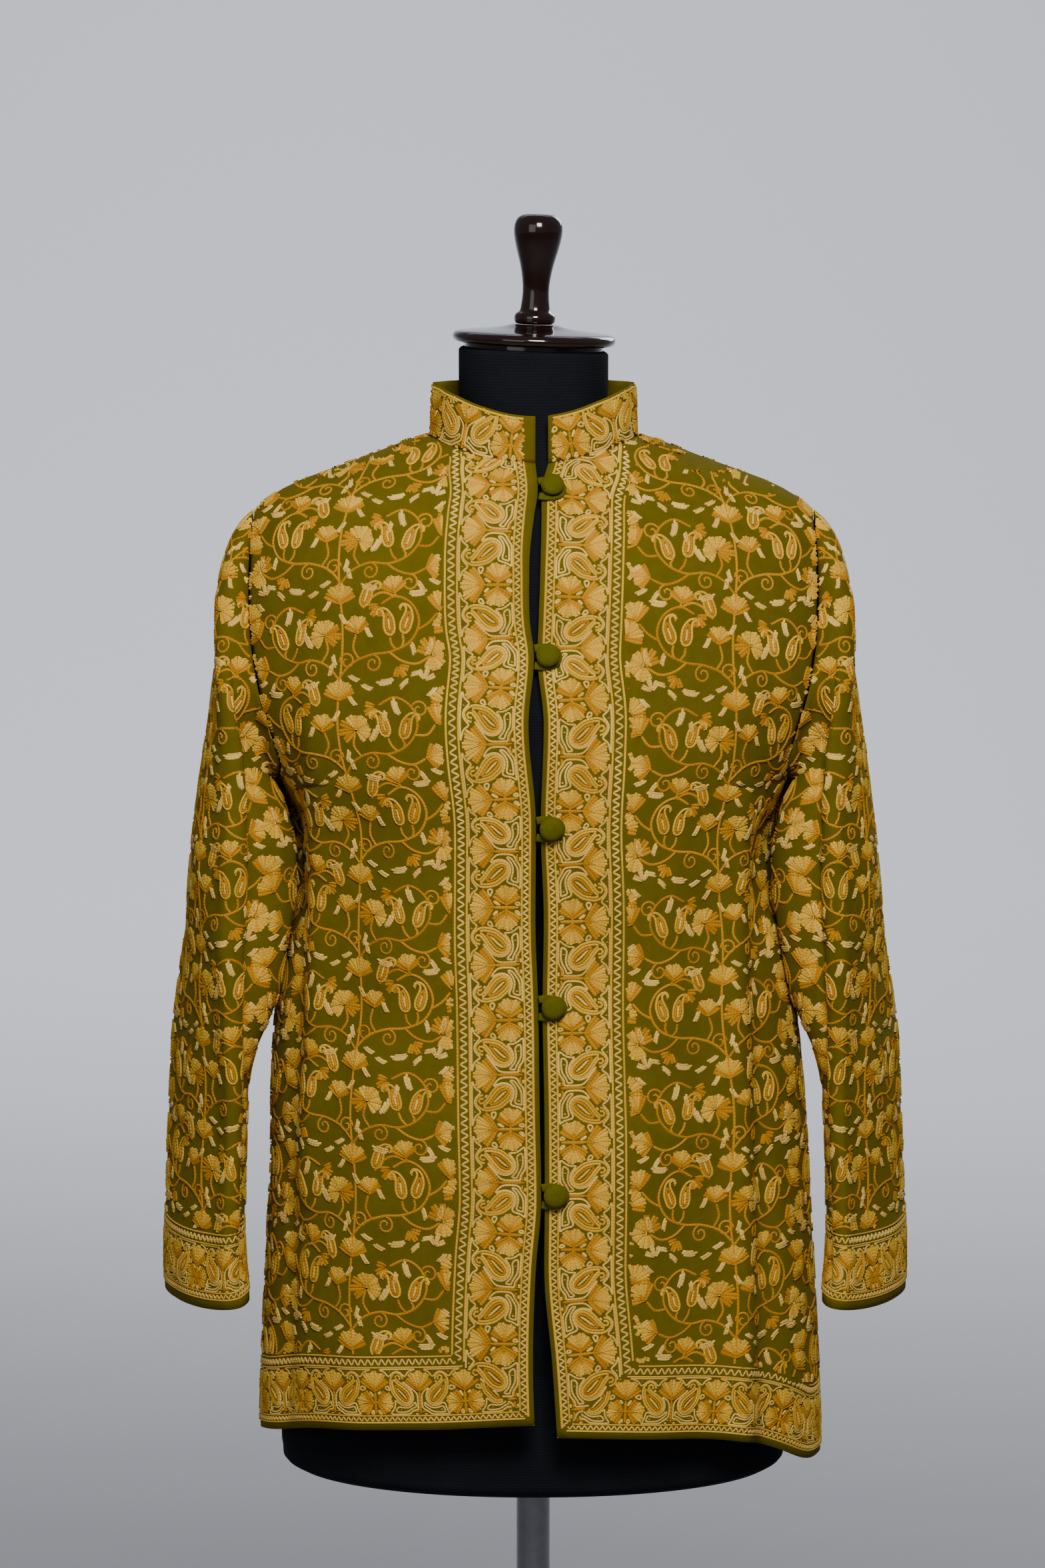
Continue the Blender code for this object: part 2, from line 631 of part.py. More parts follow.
def make_cap_and_finial():
    """The turned cap and its knob, which tip together on the top of the neck."""
    tip = Matrix.Rotation(CAP_LEAN, 4, "Y")
    tip.translation = Vector((0.0, 0.0, NECK_TOP))
    cap = turned("neck_cap", scaled_profile(CAP_PROFILE), CAP_TURNS)
    cap.matrix_world = tip @ Matrix.Translation((0.0, 0.0, EASE))
    dress(cap, "oxblood_lacquer", OXBLOOD_LACQUER)
    finial = turned("finial", scaled_profile(FINIAL_PROFILE), CAP_TURNS * 3 // 5)
    finial_foot = CAP_PROFILE[-1].height * MM + 2 * EASE
    finial.matrix_world = tip @ Matrix.Translation((0.0, 0.0, finial_foot))
    dress(finial, "oxblood_lacquer", OXBLOOD_LACQUER)


def make_stand():
    """The pole, the socket that holds it, and the round base, with its rim rounded."""
    plate = turned("base_plate", [
        Turning(BASE_RADIUS - 1.0 * MM, 0.0),
        Turning(BASE_RADIUS, 1.0 * MM),
        Turning(BASE_RADIUS, BASE_THICKNESS - 4.0 * MM),
        Turning(BASE_RADIUS - 1.6 * MM, BASE_THICKNESS - 1.2 * MM),
        Turning(BASE_RADIUS - 5.0 * MM, BASE_THICKNESS),
    ], 48)
    dress(plate, "black_enamel", BLACK_ENAMEL)
    foot = BASE_THICKNESS + EASE
    bore = POLE_RADIUS + EASE
    hub_rings = [
        Turning(bore, foot),
        Turning(HUB_RADIUS, foot),
        Turning(HUB_RADIUS, foot + 5.0 * MM),
        Turning(HUB_RADIUS * 0.72, foot + 12.0 * MM),
        Turning(HUB_RADIUS * 0.60, foot + HUB_HEIGHT - 2.0 * MM),
        Turning(HUB_RADIUS * 0.54, foot + HUB_HEIGHT),
        Turning(bore, foot + HUB_HEIGHT),
    ]
    hub = ring_of("pole_hub", hub_rings, 28)
    dress(hub, "black_enamel", BLACK_ENAMEL)
    torso_bottom = NECK_TOP - FORM[-1].drop * MM
    pole = turned("pole", [Turning(POLE_RADIUS, foot), Turning(POLE_RADIUS, torso_bottom - EASE)], 28)
    dress(pole, "chrome", CHROME)


def ring_of(name, profile, segments):
    """A ring turned about Z from a closed profile, which runs anticlockwise as seen from -Y."""
    mesh = bmesh.new()
    lines = []
    for i in range(segments):
        turn = 2 * math.pi * i / segments
        lines.append([mesh.verts.new((row.radius * math.cos(turn), row.radius * math.sin(turn),
                                      row.height)) for row in profile])
    for i in range(segments):
        this, following = lines[i], lines[(i + 1) % segments]
        for k in range(len(profile)):
            up = (k + 1) % len(profile)
            mesh.faces.new((this[k], following[k], following[up], this[up]))
    return finished(name, mesh)


def clear_scene():
    for made in list(bpy.data.objects):
        bpy.data.objects.remove(made, do_unlink=True)


def main():
    clear_scene()
    make_stand()
    make_form()
    make_cap_and_finial()
    make_front("front_right", -1)
    make_front("front_left", 1)
    make_back()
    make_sleeve("sleeve_right", -1)
    make_sleeve("sleeve_left", 1)
    make_collar()
    for number, drop in enumerate(BUTTON_DROPS, start=1):
        make_button(f"button_{number}", drop)
        make_loop(f"loop_{number}", drop)


main()
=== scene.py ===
"""Looks of an embroidered wool jacket with a stand collar, on a limbless dress form.

The jacket is cut as six sheets of olive twill. The shape that each sheet takes on the form is
worked out as a fine grid and laid flat again, its lengths kept as nearly as its curves allow.
The chain stitch is drawn on that flat cut, in millimetres, and then lifted onto the cloth.

Metres, +Z up, the jacket's front towards -Y. "Right" and "left" are the wearer's, so the right
front lies at -X. A drop is in millimetres below the top of the form's neck.
"""

from __future__ import annotations

import logging
import math
import sys
from collections.abc import Callable, Iterable, Sequence
from dataclasses import dataclass, field
from enum import Enum

import bmesh
import bpy
import numpy as np
from mathutils import Matrix, Vector

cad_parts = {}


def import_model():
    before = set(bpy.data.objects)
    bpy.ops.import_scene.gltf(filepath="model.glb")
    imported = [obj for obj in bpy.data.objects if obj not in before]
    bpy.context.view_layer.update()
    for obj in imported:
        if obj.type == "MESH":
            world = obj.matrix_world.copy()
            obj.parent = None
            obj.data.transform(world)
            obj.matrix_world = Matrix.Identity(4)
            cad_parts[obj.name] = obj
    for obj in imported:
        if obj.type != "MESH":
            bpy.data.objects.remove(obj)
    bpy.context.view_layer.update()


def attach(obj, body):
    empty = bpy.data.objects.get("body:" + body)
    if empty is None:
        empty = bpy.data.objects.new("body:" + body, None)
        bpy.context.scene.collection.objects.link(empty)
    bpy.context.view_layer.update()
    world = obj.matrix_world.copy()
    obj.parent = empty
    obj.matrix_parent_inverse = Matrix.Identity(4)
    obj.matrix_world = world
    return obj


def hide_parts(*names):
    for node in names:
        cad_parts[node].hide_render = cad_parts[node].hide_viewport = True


LOG = logging.getLogger("jacket")
MM = 0.001
NECK_TOP = 1.500
CLOTH = 1.8
CAP_LEAN = math.radians(2.3)
NECKLINE_WIDTH = 75.0
NECK_POINT_DROP = 62.0
NECK_FRONT_DROP = 78.0
NECK_BACK_DROP = 66.0
SHOULDER_DROP = 118.0
UNDERARM_DROP = 312.0
BUTTON_DROPS = (96.0, 212.0, 333.0, 462.0, 597.0)
BUTTON_INSET = 7.4
HEM_INSET = 4.8
CUFF_INSET = 6.5
FIELD_GAP = 0.6
STITCH_SLACK = 0.3
ROUNDED_END = 0.35


class Side(Enum):
    """The wearer's side that a piece is on, as the sign of its X."""

    RIGHT = -1
    LEFT = 1

    @property
    def word(self) -> str:
        """The side's name, as it stands in the names of pieces."""
        return self.name.lower()


class Thread(Enum):
    """The wool threads, in the order of their slots on a piece of embroidery."""

    GOLD = 0
    ORANGE = 1
    CREAM = 2


# ------------------------------------------------------------------ curves and rings
def eased(knots: np.ndarray, values: np.ndarray, slopes: np.ndarray, at: np.ndarray) -> np.ndarray:
    """Values between knots, along a cubic that has the knots' slopes.

    Args:
        knots: Where the knots are, in rising order.
        values: The knots' values, one a row, of any shape.
        slopes: The knots' slopes, in the shape of the values.
        at: Where the values are wanted.

    Returns:
        The values, in the shape of the places and then of one knot's value.
    """
    i = np.clip(np.searchsorted(knots, at, side="right") - 1, 0, len(knots) - 2)
    width = (knots[i + 1] - knots[i]).reshape(np.shape(i) + (1,) * (values.ndim - 1))
    t = (at - knots[i]).reshape(width.shape) / width
    start = (2 * t**3 - 3 * t**2 + 1) * values[i] + (t**3 - 2 * t**2 + t) * width * slopes[i]
    end = (3 * t**2 - 2 * t**3) * values[i + 1] + (t**3 - t**2) * width * slopes[i + 1]
    return start + end


def lengths_along(line: np.ndarray) -> np.ndarray:
    """How far along a line each of its points is."""
    return np.concatenate([[0.0], np.cumsum(np.hypot(*np.diff(line, axis=0).T))])


class Curves:
    """Smooth curves through the columns of a table, which stay level at a column's extremes."""

    def __init__(self, names: str, rows: Sequence[Sequence[float]]) -> None:
        """Reads the table.

        Args:
            names: The columns' names with spaces between, the first being "drop".
            rows: The rows, from the top down.
        """
        data = np.array(rows, float)
        self.columns = {name: data[:, i] for i, name in enumerate(names.split())}
        self.drops = data[:, 0]

    def at(self, name: str, drop: np.ndarray | float) -> np.ndarray:
        """The value of a column at one drop or more.

        Args:
            name: The column.
            drop: The drops, in mm.

        Returns:
            The values, in the shape of the drops.
        """
        values = self.columns[name]
        slopes = np.gradient(values, self.drops)
        steps = np.diff(values)
        slopes[np.flatnonzero(steps[:-1] * steps[1:] <= 0) + 1] = 0.0
        return eased(self.drops, values, slopes, np.clip(drop, self.drops[0], self.drops[-1]))


class Rings(Curves):
    """A stack of rings: half width, front and back depth, squareness, fullness and shift."""

    def point(self, drop: np.ndarray, angle: np.ndarray) -> np.ndarray:
        """Points on the rings.

        Args:
            drop: The points' drops, in mm.
            angle: 0 at centre front and a quarter turn at the left side.

        Returns:
            The points in world millimetres, with x, y and z last.
        """
        drop, angle = np.broadcast_arrays(np.asarray(drop, float), np.asarray(angle, float))
        across = np.sin(angle)
        bulge = np.maximum(0.0, 1.0 - np.abs(across) ** self.at("power", drop))
        depth = bulge ** self.at("fullness", drop)
        front, back = -self.at("front", drop), self.at("back", drop)
        y = np.where(np.cos(angle) >= 0, front, back) * depth
        x = self.at("shift", drop) + self.at("half", drop) * across
        return np.stack([x, y, NECK_TOP / MM - drop], axis=-1)


BODY = Rings("drop half front back power fullness shift", (
    (60, 74, 42, 52, 2.0, 0.62, 0), (62, 78, 46, 55, 2.0, 0.62, 0),
    (66, 91, 54, 62, 2.0, 0.62, 0), (71, 104, 60, 65, 1.9, 0.64, 0),
    (78, 122, 68, 69, 1.8, 0.66, 0), (86, 144, 76, 74, 1.8, 0.66, 0),
    (96, 171, 84, 80, 1.8, 0.66, 0), (106, 190, 90, 85, 1.85, 0.64, 0),
    (118, 204, 95, 90, 1.9, 0.62, 0), (135, 211, 101, 95, 2.0, 0.58, 0),
    (160, 216, 109, 100, 2.2, 0.54, 0), (200, 219, 119, 104, 2.3, 0.5, 0),
    (250, 214, 130, 106, 2.4, 0.5, 0), (280, 202, 134, 106, 2.4, 0.5, 0),
    (300, 192, 136, 104, 2.4, 0.5, 0), (312, 186, 136, 103, 2.4, 0.5, 0),
    (350, 176, 134, 98, 2.35, 0.5, 0), (390, 176, 133, 95, 2.3, 0.5, 0.5),
    (430, 183, 134, 99, 2.25, 0.5, 1), (470, 190, 136, 106, 2.2, 0.5, 1.5),
    (530, 196, 140, 116, 2.2, 0.5, 2.5), (610, 200, 145, 124, 2.15, 0.5, 4.5),
    (700, 205, 150, 131, 2.1, 0.5, 4.5), (790, 209, 154, 136, 2.1, 0.5, 5),
    (830, 210, 155, 138, 2.1, 0.5, 5)))

FRONT_EDGES = Curves("drop right left", (
    (45, 0.4, 12.6), (78, 1.2, 10.6), (96, 3.0, 5.6), (112, 0.6, 5.6), (150, -3.2, 4.8),
    (190, -2.6, 3.4), (212, 0.2, 2.6), (260, -3.8, 7.1), (333, 1.6, 5.0), (400, 1.2, 7.2),
    (462, 3.2, 6.4), (540, 4.3, 7.7), (600, 5.4, 8.0), (650, 1.6, 7.6), (720, -0.5, 13.4),
    (780, 1.2, 17.4)))

ARMHOLE = Curves("drop reach", (
    (118, 204), (135, 205), (160, 206), (200, 205), (250, 197), (280, 188.5), (300, 183.8),
    (312, 185.8)))

SLEEVE = np.array((
    # out, out_drop, inn, inn_drop, front, back, turn, flare, forward
    (217.0, 131, 188.5, 319, 56, 52, 0.0, 7.0, 0), (225.5, 152, 188.5, 327, 62, 58, 0.0, 5.5, 0),
    (230.0, 182, 188.0, 337, 67, 64, 0.0, 4.0, 0), (232.0, 216, 187.0, 349, 71, 69, 0.0, 2.0, 1),
    (237.0, 256, 185.5, 363, 73, 72, 3.0, 0.0, 2), (244.0, 305, 185.0, 381, 73, 72, 6.0, 0.0, 3),
    (251.0, 358, 186.5, 403, 71, 70, 9.0, 0.0, 4), (257.5, 411, 191.0, 431, 69, 67, 13.0, 0.0, 6),
    (263.0, 460, 197.0, 467, 66, 64, 18.0, 0.0, 8), (267.0, 511, 202.0, 512, 63, 61, 22.0, 0.0, 11),
    (270.0, 566, 205.0, 566, 60, 59, 24.0, 0.0, 14), (272.5, 620, 207.0, 620, 58, 57, 24.0, 0.0, 17),
    (274.5, 660, 207.5, 657, 57, 56, 24.0, 0.0, 19), (276.0, 702, 208.0, 690, 57, 56, 24.0, 0.0, 21)))
SLEEVE_SHIFT = {Side.RIGHT: -1.0, Side.LEFT: 3.0}

FORM = Rings("drop half front back power fullness lean shift", [(*row, 0.0) for row in (
    (0.0, 51.5, 51.5, 51.5, 2.0, 0.5, 1.0), (1.2, 53.6, 53.6, 53.6, 2.0, 0.5, 1.0),
    (4.0, 54.5, 54.5, 54.5, 2.0, 0.5, 0.8), (30.0, 54.5, 54.5, 54.5, 2.0, 0.5, 0.0),
    (52.0, 55.0, 54.8, 54.0, 2.0, 0.5, 0.0), (62.0, 62.0, 57.0, 54.5, 2.0, 0.52, 0.0),
    (67.0, 75.0, 58.0, 54.5, 1.8, 0.6, 0.0), (72.0, 88.0, 60.0, 56.0, 1.7, 0.68, 0.0),
    (80.0, 108.0, 62.0, 60.5, 1.65, 0.7, 0.0), (90.0, 132.0, 69.0, 67.0, 1.7, 0.68, 0.0),
    (102.0, 156.0, 77.0, 74.0, 1.8, 0.64, 0.0), (116.0, 171.0, 85.0, 81.0, 1.9, 0.6, 0.0),
    (135.0, 178.0, 92.0, 87.0, 2.0, 0.56, 0.0), (165.0, 179.0, 101.0, 92.0, 2.1, 0.53, 0.0),
    (210.0, 174.0, 112.0, 96.0, 2.2, 0.5, 0.0), (260.0, 168.0, 123.0, 97.0, 2.3, 0.5, 0.0),
    (300.0, 162.0, 126.0, 95.0, 2.3, 0.5, 0.0), (345.0, 152.0, 118.0, 90.0, 2.2, 0.5, 0.0),
    (400.0, 142.0, 104.0, 85.0, 2.1, 0.5, 0.0), (450.0, 146.0, 102.0, 89.0, 2.1, 0.5, 0.0),
    (520.0, 161.0, 108.0, 100.0, 2.1, 0.5, 0.0), (600.0, 176.0, 114.0, 113.0, 2.1, 0.5, 0.0),
    (690.0, 185.0, 118.0, 121.0, 2.1, 0.5, 0.0), (790.0, 188.0, 119.0, 122.0, 2.1, 0.5, 0.0),
    (815.0, 187.0, 118.0, 121.0, 2.1, 0.5, 0.0), (825.0, 184.0, 115.0, 118.0, 2.1, 0.5, 0.0),
    (829.0, 177.0, 108.0, 111.0, 2.1, 0.5, 0.0))])

HEM = {Side.RIGHT: (765.0, 802.0), Side.LEFT: (772.0, 820.0)}
BACK_HEM = 800.0


def neckline_drop(across: np.ndarray, lowest: float) -> np.ndarray:
    """The neckline's drop at distances across from the centre, falling to its lowest."""
    share = np.minimum(1.0, np.abs(across) / NECKLINE_WIDTH)
    return NECK_POINT_DROP + (lowest - NECK_POINT_DROP) * (1.0 - share**2)


def outer_angle(drop: np.ndarray) -> np.ndarray:
    """The angle where a panel ends: at the shoulder seam, the armhole or the side seam."""
    drop = np.asarray(drop, float)
    reach = np.clip(ARMHOLE.at("reach", drop) / BODY.at("half", drop), 0.0, 1.0)
    open_side = (drop > SHOULDER_DROP) & (drop < UNDERARM_DROP)
    return np.where(open_side, np.arcsin(reach), math.pi / 2)


def edge_angle(side: Side, drop: np.ndarray, inset: float = 0.0) -> np.ndarray:
    """The angle, towards its own side, of a front's edge or of a line inset from it by mm."""
    x = FRONT_EDGES.at(side.word, drop) + side.value * inset
    sine = (x - BODY.at("shift", drop)) / BODY.at("half", drop)
    return side.value * np.arcsin(np.clip(sine, -1.0, 1.0))


# ------------------------------------------------------------------ sheets of cloth
@dataclass(frozen=True)
class Crease:
    """A fold in hanging cloth: the line it runs along and how far it stands out or sinks in."""

    line: tuple[tuple[float, float], ...]  # (down, across) pairs from its top
    depth: float  # mm, outwards
    width: float  # in the units of across
    fade: float = 45.0  # mm over which its ends die away

    def push(self, down: np.ndarray, across: np.ndarray) -> np.ndarray:
        """How far the fold moves points of the cloth outwards, in mm.

        Args:
            down: How far down each point lies.
            across: How far across each point lies.

        Returns:
            The moves, in the shape of the points.
        """
        downs, acrosses = np.array(self.line, float).T
        middle = np.interp(down, downs, acrosses)
        start = np.clip((down - downs[0]) / self.fade, 0.0, 1.0)
        end = np.clip((downs[-1] - down) / self.fade, 0.0, 1.0)
        ends = start * start * (3 - 2 * start) * end * end * (3 - 2 * end)
        return self.depth * ends / np.cosh(1.6 * (across - middle) / self.width)


def ripple(down: np.ndarray, across: np.ndarray, seed: int, depth: float) -> np.ndarray:
    """Small uneven hollows of cloth that hangs.

    Args:
        down: How far down each point lies, mm.
        across: How far across each point lies, mm.
        seed: Chooses the hollows.
        depth: About how deep they are, mm.

    Returns:
        The moves outwards, mm.
    """
    random = np.random.default_rng(seed)
    total = np.zeros(np.broadcast(down, across).shape)
    for _ in range(7):
        slant, period = random.uniform(-0.5, 0.5), random.uniform(55.0, 150.0)
        phase, slow = random.uniform(0.0, 6.28), random.uniform(0.2, 0.5)
        total = total + np.sin((across + slant * down) * 6.28 / period + phase
                               + np.sin(down * slow * 6.28 / period))
    return total * depth / 3.5


def crossing(first: np.ndarray, second: np.ndarray) -> np.ndarray:
    """The unit vectors square to two fields of vectors."""
    made = np.cross(first, second)
    return made / np.maximum(np.linalg.norm(made, axis=-1, keepdims=True), 1e-9)


def slopes_of(points: np.ndarray) -> tuple[np.ndarray, np.ndarray]:
    """How a grid of points changes down its rows and across its columns."""
    return np.gradient(points, axis=0), np.gradient(points, axis=1)


def laid_flat(points: np.ndarray, start: np.ndarray, middle: int, level: int,
              rounds: int = 900) -> np.ndarray:
    """Lays a grid of points flat, keeping the lengths of its sides and diagonals.

    Args:
        points: The grid on the form, mm.
        start: Where each row's middle column starts across, mm.
        middle: The column that the rows are first measured from.
        level: The row that lies straight at first.
        rounds: How many times the lengths are eased.

    Returns:
        The flat grid, with across and down last, mm.
    """
    steps = np.linalg.norm(np.diff(points, axis=1), axis=-1)
    across = np.concatenate([np.zeros((len(points), 1)), np.cumsum(steps, axis=1)], axis=1)
    across = across - across[:, middle:middle + 1] + start[:, None]
    drops = np.linalg.norm(np.diff(points, axis=0), axis=-1)
    shifts = np.diff(across, axis=0)
    falls = np.sqrt(np.maximum(drops**2 - shifts**2, (0.25 * drops) ** 2))
    down = np.concatenate([np.zeros((1, points.shape[1])), np.cumsum(falls, axis=0)], axis=0)
    down = down - down[level] + down[level, middle]
    flat = np.stack([across, down], axis=-1)
    links = ((slice(None), slice(0, -1), slice(None), slice(1, None)),
             (slice(0, -1), slice(None), slice(1, None), slice(None)),
             (slice(0, -1), slice(0, -1), slice(1, None), slice(1, None)),
             (slice(0, -1), slice(1, None), slice(1, None), slice(0, -1)))
    lengths = [np.linalg.norm(points[c, d] - points[a, b], axis=-1) for a, b, c, d in links]
    counts = np.zeros(flat.shape[:2] + (1,))
    for a, b, c, d in links:
        counts[a, b] += 1
        counts[c, d] += 1
    speed = np.zeros_like(flat)
    for _ in range(rounds):
        move = np.zeros_like(flat)
        for (a, b, c, d), length in zip(links, lengths):
            gap = flat[c, d] - flat[a, b]
            now = np.maximum(np.linalg.norm(gap, axis=-1), 1e-6)
            pull = gap * ((now - length) / now * 0.5)[..., None]
            move[a, b] += pull
            move[c, d] -= pull
        speed = 0.93 * speed + move / counts * 0.9
        flat = flat + speed
    return flat


@dataclass
class Sheet:
    """One cut piece of cloth: a grid of points on the form, and the same grid laid flat."""

    name: str
    points: np.ndarray  # rows, columns, xyz in mm
    flat: np.ndarray  # rows, columns, across and down in mm
    tube: bool = False  # whether its first and last columns are sewn together
    upright_top: bool = False  # whether the top row's wall stands square to the body's side
    outward: np.ndarray = field(init=False)
    flipped: bool = field(init=False)

    def __post_init__(self) -> None:
        """Works out which way the cloth faces at each point."""
        down, across = slopes_of(self.points)
        if self.tube:
            across[:, 0] = across[:, -1] = self.points[:, 1] - self.points[:, -2]
        outward = crossing(across, down)
        middle = self.points.mean(axis=(0, 1) if not self.tube else 1, keepdims=True)
        if not self.tube:
            middle[..., :2] = 0.0
        self.flipped = bool(((self.points - middle) * outward).sum() < 0)
        self.outward = -outward if self.flipped else outward
        if self.upright_top:
            self.outward[0, :, 0] = 0.0
            self.outward[0] /= np.linalg.norm(self.outward[0], axis=-1, keepdims=True)

    @property
    def size(self) -> tuple[float, float]:
        """The flat cut's width and length, in metres."""
        low, high = self.flat.min(axis=(0, 1)), self.flat.max(axis=(0, 1))
        return float(high[0] - low[0]) * MM, float(high[1] - low[1]) * MM

    @property
    def area(self) -> float:
        """The flat cut's area, in square metres."""
        first = self.flat[1:, 1:] - self.flat[:-1, :-1]
        second = self.flat[1:, :-1] - self.flat[:-1, 1:]
        cross = first[..., 0] * second[..., 1] - first[..., 1] * second[..., 0]
        return float(np.abs(cross).sum()) / 2 * MM * MM

    def strain(self) -> float:
        """The largest change of length between neighbours across the rows, as a share."""
        real = np.linalg.norm(np.diff(self.points, axis=1), axis=-1)
        cut = np.linalg.norm(np.diff(self.flat, axis=1), axis=-1)
        return float(np.abs(cut / real - 1.0).max())

    def corners(self, place: np.ndarray) -> tuple[np.ndarray, np.ndarray, np.ndarray]:
        """The cell that each place lies in, and how far along and across that cell it is."""
        limits = np.array(self.flat.shape[:2]) - 2
        cell = np.clip(np.floor(place).astype(int), 0, limits)
        share = place - cell
        return cell, share[:, :1], share[:, 1:]

    def blend(self, grid: np.ndarray, place: np.ndarray) -> np.ndarray:
        """The values of a grid at places given as a row and a column, between its points.

        Args:
            grid: The values, with rows and columns first.
            place: The places, one a line.

        Returns:
            The values, one a line.
        """
        cell, down, across = self.corners(place)
        r, c = cell.T
        top = grid[r, c] * (1 - across) + grid[r, c + 1] * across
        bottom = grid[r + 1, c] * (1 - across) + grid[r + 1, c + 1] * across
        return top * (1 - down) + bottom * down

    def find(self, spots: np.ndarray) -> np.ndarray:
        """Where spots on the flat cut lie, as a row and a column.

        Args:
            spots: The spots, across and down in mm, one a line.

        Returns:
            The places. Those outside the grid lie off the cut.
        """
        coarse = np.round(spots / 9.0).astype(int)
        cells, back = np.unique(coarse, axis=0, return_inverse=True)
        rows, columns = np.mgrid[0:self.flat.shape[0]:2, 0:self.flat.shape[1]:2]
        nodes = self.flat[rows, columns].reshape(-1, 2)
        places = np.stack([rows.ravel(), columns.ravel()], axis=-1).astype(float)
        nearest = np.zeros(len(cells), int)
        for i in range(0, len(cells), 500):
            gaps = cells[i:i + 500, None, :] * 9.0 - nodes[None]
            nearest[i:i + 500] = np.argmin((gaps**2).sum(-1), axis=1)
        place = places[nearest[back.reshape(-1)]]
        for _ in range(9):
            cell, down, across = self.corners(place)
            r, c = cell.T
            f00, f01 = self.flat[r, c], self.flat[r, c + 1]
            f10, f11 = self.flat[r + 1, c], self.flat[r + 1, c + 1]
            here = (f00 * (1 - across) + f01 * across) * (1 - down) + (
                f10 * (1 - across) + f11 * across) * down
            d_down = (f10 - f00) * (1 - across) + (f11 - f01) * across
            d_across = (f01 - f00) * (1 - down) + (f11 - f10) * down
            miss = spots - here
            det = d_down[:, 0] * d_across[:, 1] - d_down[:, 1] * d_across[:, 0]
            det = np.where(np.abs(det) < 1e-6, 1e-6, det)
            step_down = (miss[:, 0] * d_across[:, 1] - miss[:, 1] * d_across[:, 0]) / det
            step_across = (d_down[:, 0] * miss[:, 1] - d_down[:, 1] * miss[:, 0]) / det
            place = place + np.clip(np.stack([step_down, step_across], axis=-1), -4.0, 4.0)
            place = np.clip(place, -3.0, np.array(self.flat.shape[:2]) + 2.0)
        off = np.linalg.norm(self.blend(self.flat, place) - spots, axis=1) > 0.4
        place[off] = -9.0
        return place

    def holds(self, place: np.ndarray, margin: float = 0.05) -> np.ndarray:
        """Whether places lie on the cut."""
        last = np.array(self.flat.shape[:2]) - 1
        return ((place >= -margin) & (place <= last + margin)).all(axis=1)

    def lift(self, place: np.ndarray, height: np.ndarray) -> np.ndarray:
        """World points, in metres, at heights in mm above places on the cloth."""
        out = self.blend(self.outward, place)
        return (self.blend(self.points, place) + out * height[:, None]) * MM


def facing_out(points: np.ndarray, tube: bool = False) -> np.ndarray:
    """The way that cloth with these points faces, before it has a flat cut."""
    return Sheet("form", points, np.zeros(points.shape[:2] + (2,)), tube).outward


# ------------------------------------------------------------------ chain stitch
@dataclass(frozen=True)
class Run:
    """One run of chain stitch on the flat cut."""

    line: np.ndarray  # points, mm
    half: np.ndarray  # half its width at each point, mm
    height: float
    thread: Thread


def smooth_line(points: Sequence[Sequence[float]], step: float) -> np.ndarray:
    """A smooth line through points.

    Args:
        points: The points to pass through.
        step: About how far apart the line's own points are.

    Returns:
        The line's points.
    """
    given = np.asarray(points, float)
    if len(given) > 2:
        at = lengths_along(given)
        fine = np.linspace(0.0, at[-1], max(9, int(at[-1] / 0.7)))
        given = eased(at, given, np.gradient(given, at, axis=0), fine)
    return evenly(given, step)


def evenly(line: np.ndarray, step: float) -> np.ndarray:
    """A line's points spaced evenly, about a step apart."""
    at = lengths_along(line)
    count = max(2, int(round(at[-1] / step)) + 1)
    fine = np.linspace(0.0, at[-1], count)
    return np.stack([np.interp(fine, at, line[:, 0]), np.interp(fine, at, line[:, 1])], axis=-1)


def run(points: Sequence[Sequence[float]], thread: Thread, width: float = 2.1,
        step: float = 2.8, height: float = 1.0, ends: float = 0.55) -> Run:
    """A run of chain stitch through points.

    Args:
        points: What it passes through, mm.
        thread: Its wool.
        width: Its width, mm.
        step: About how far apart its own points are, mm.
        height: How high it stands, mm.
        ends: How wide its ends are, as a share. Those of a cream leaf's long links are round.

    Returns:
        The run.
    """
    line = smooth_line(points, step)
    half = np.full(len(line), width / 2)
    if thread is Thread.CREAM and step > 2.5:
        near = min(0.25, 0.8 / step)
        first = line[0] + (line[1] - line[0]) * near
        last = line[-1] + (line[-2] - line[-1]) * near
        line = np.concatenate([line[:1], [first], line[1:-1], [last], line[-1:]])
        half = np.full(len(line), width / 2)
        ends = ROUNDED_END
    half[0] *= ends
    half[-1] *= ends
    return Run(line, half, height, thread)


def towards(degrees: float) -> np.ndarray:
    """The direction at an angle clockwise from up, x to the right and y up."""
    angle = math.radians(degrees)
    return np.array([math.sin(angle), math.cos(angle)])


def turned_by(runs: Iterable[Run], at: tuple[float, float], turn: float = 0.0,
              scale: float = 1.0, mirrored: bool = False) -> list[Run]:
    """Runs of a motif placed on the cut.

    Args:
        runs: The motif about its own origin, x to the right and y up.
        at: Where its origin goes, across and down.
        turn: Which way its y points, in degrees clockwise from up.
        scale: Its size.
        mirrored: Whether it is first turned over sideways.

    Returns:
        The placed runs.
    """
    cosine, sine = math.cos(math.radians(turn)), math.sin(math.radians(turn))
    matrix = np.array([[cosine, sine], [sine, -cosine]]) * scale
    flip = np.array([-1.0 if mirrored else 1.0, 1.0])
    return [Run((r.line * flip) @ matrix.T + np.array(at), r.half * min(1.0, scale), r.height,
                r.thread) for r in runs]


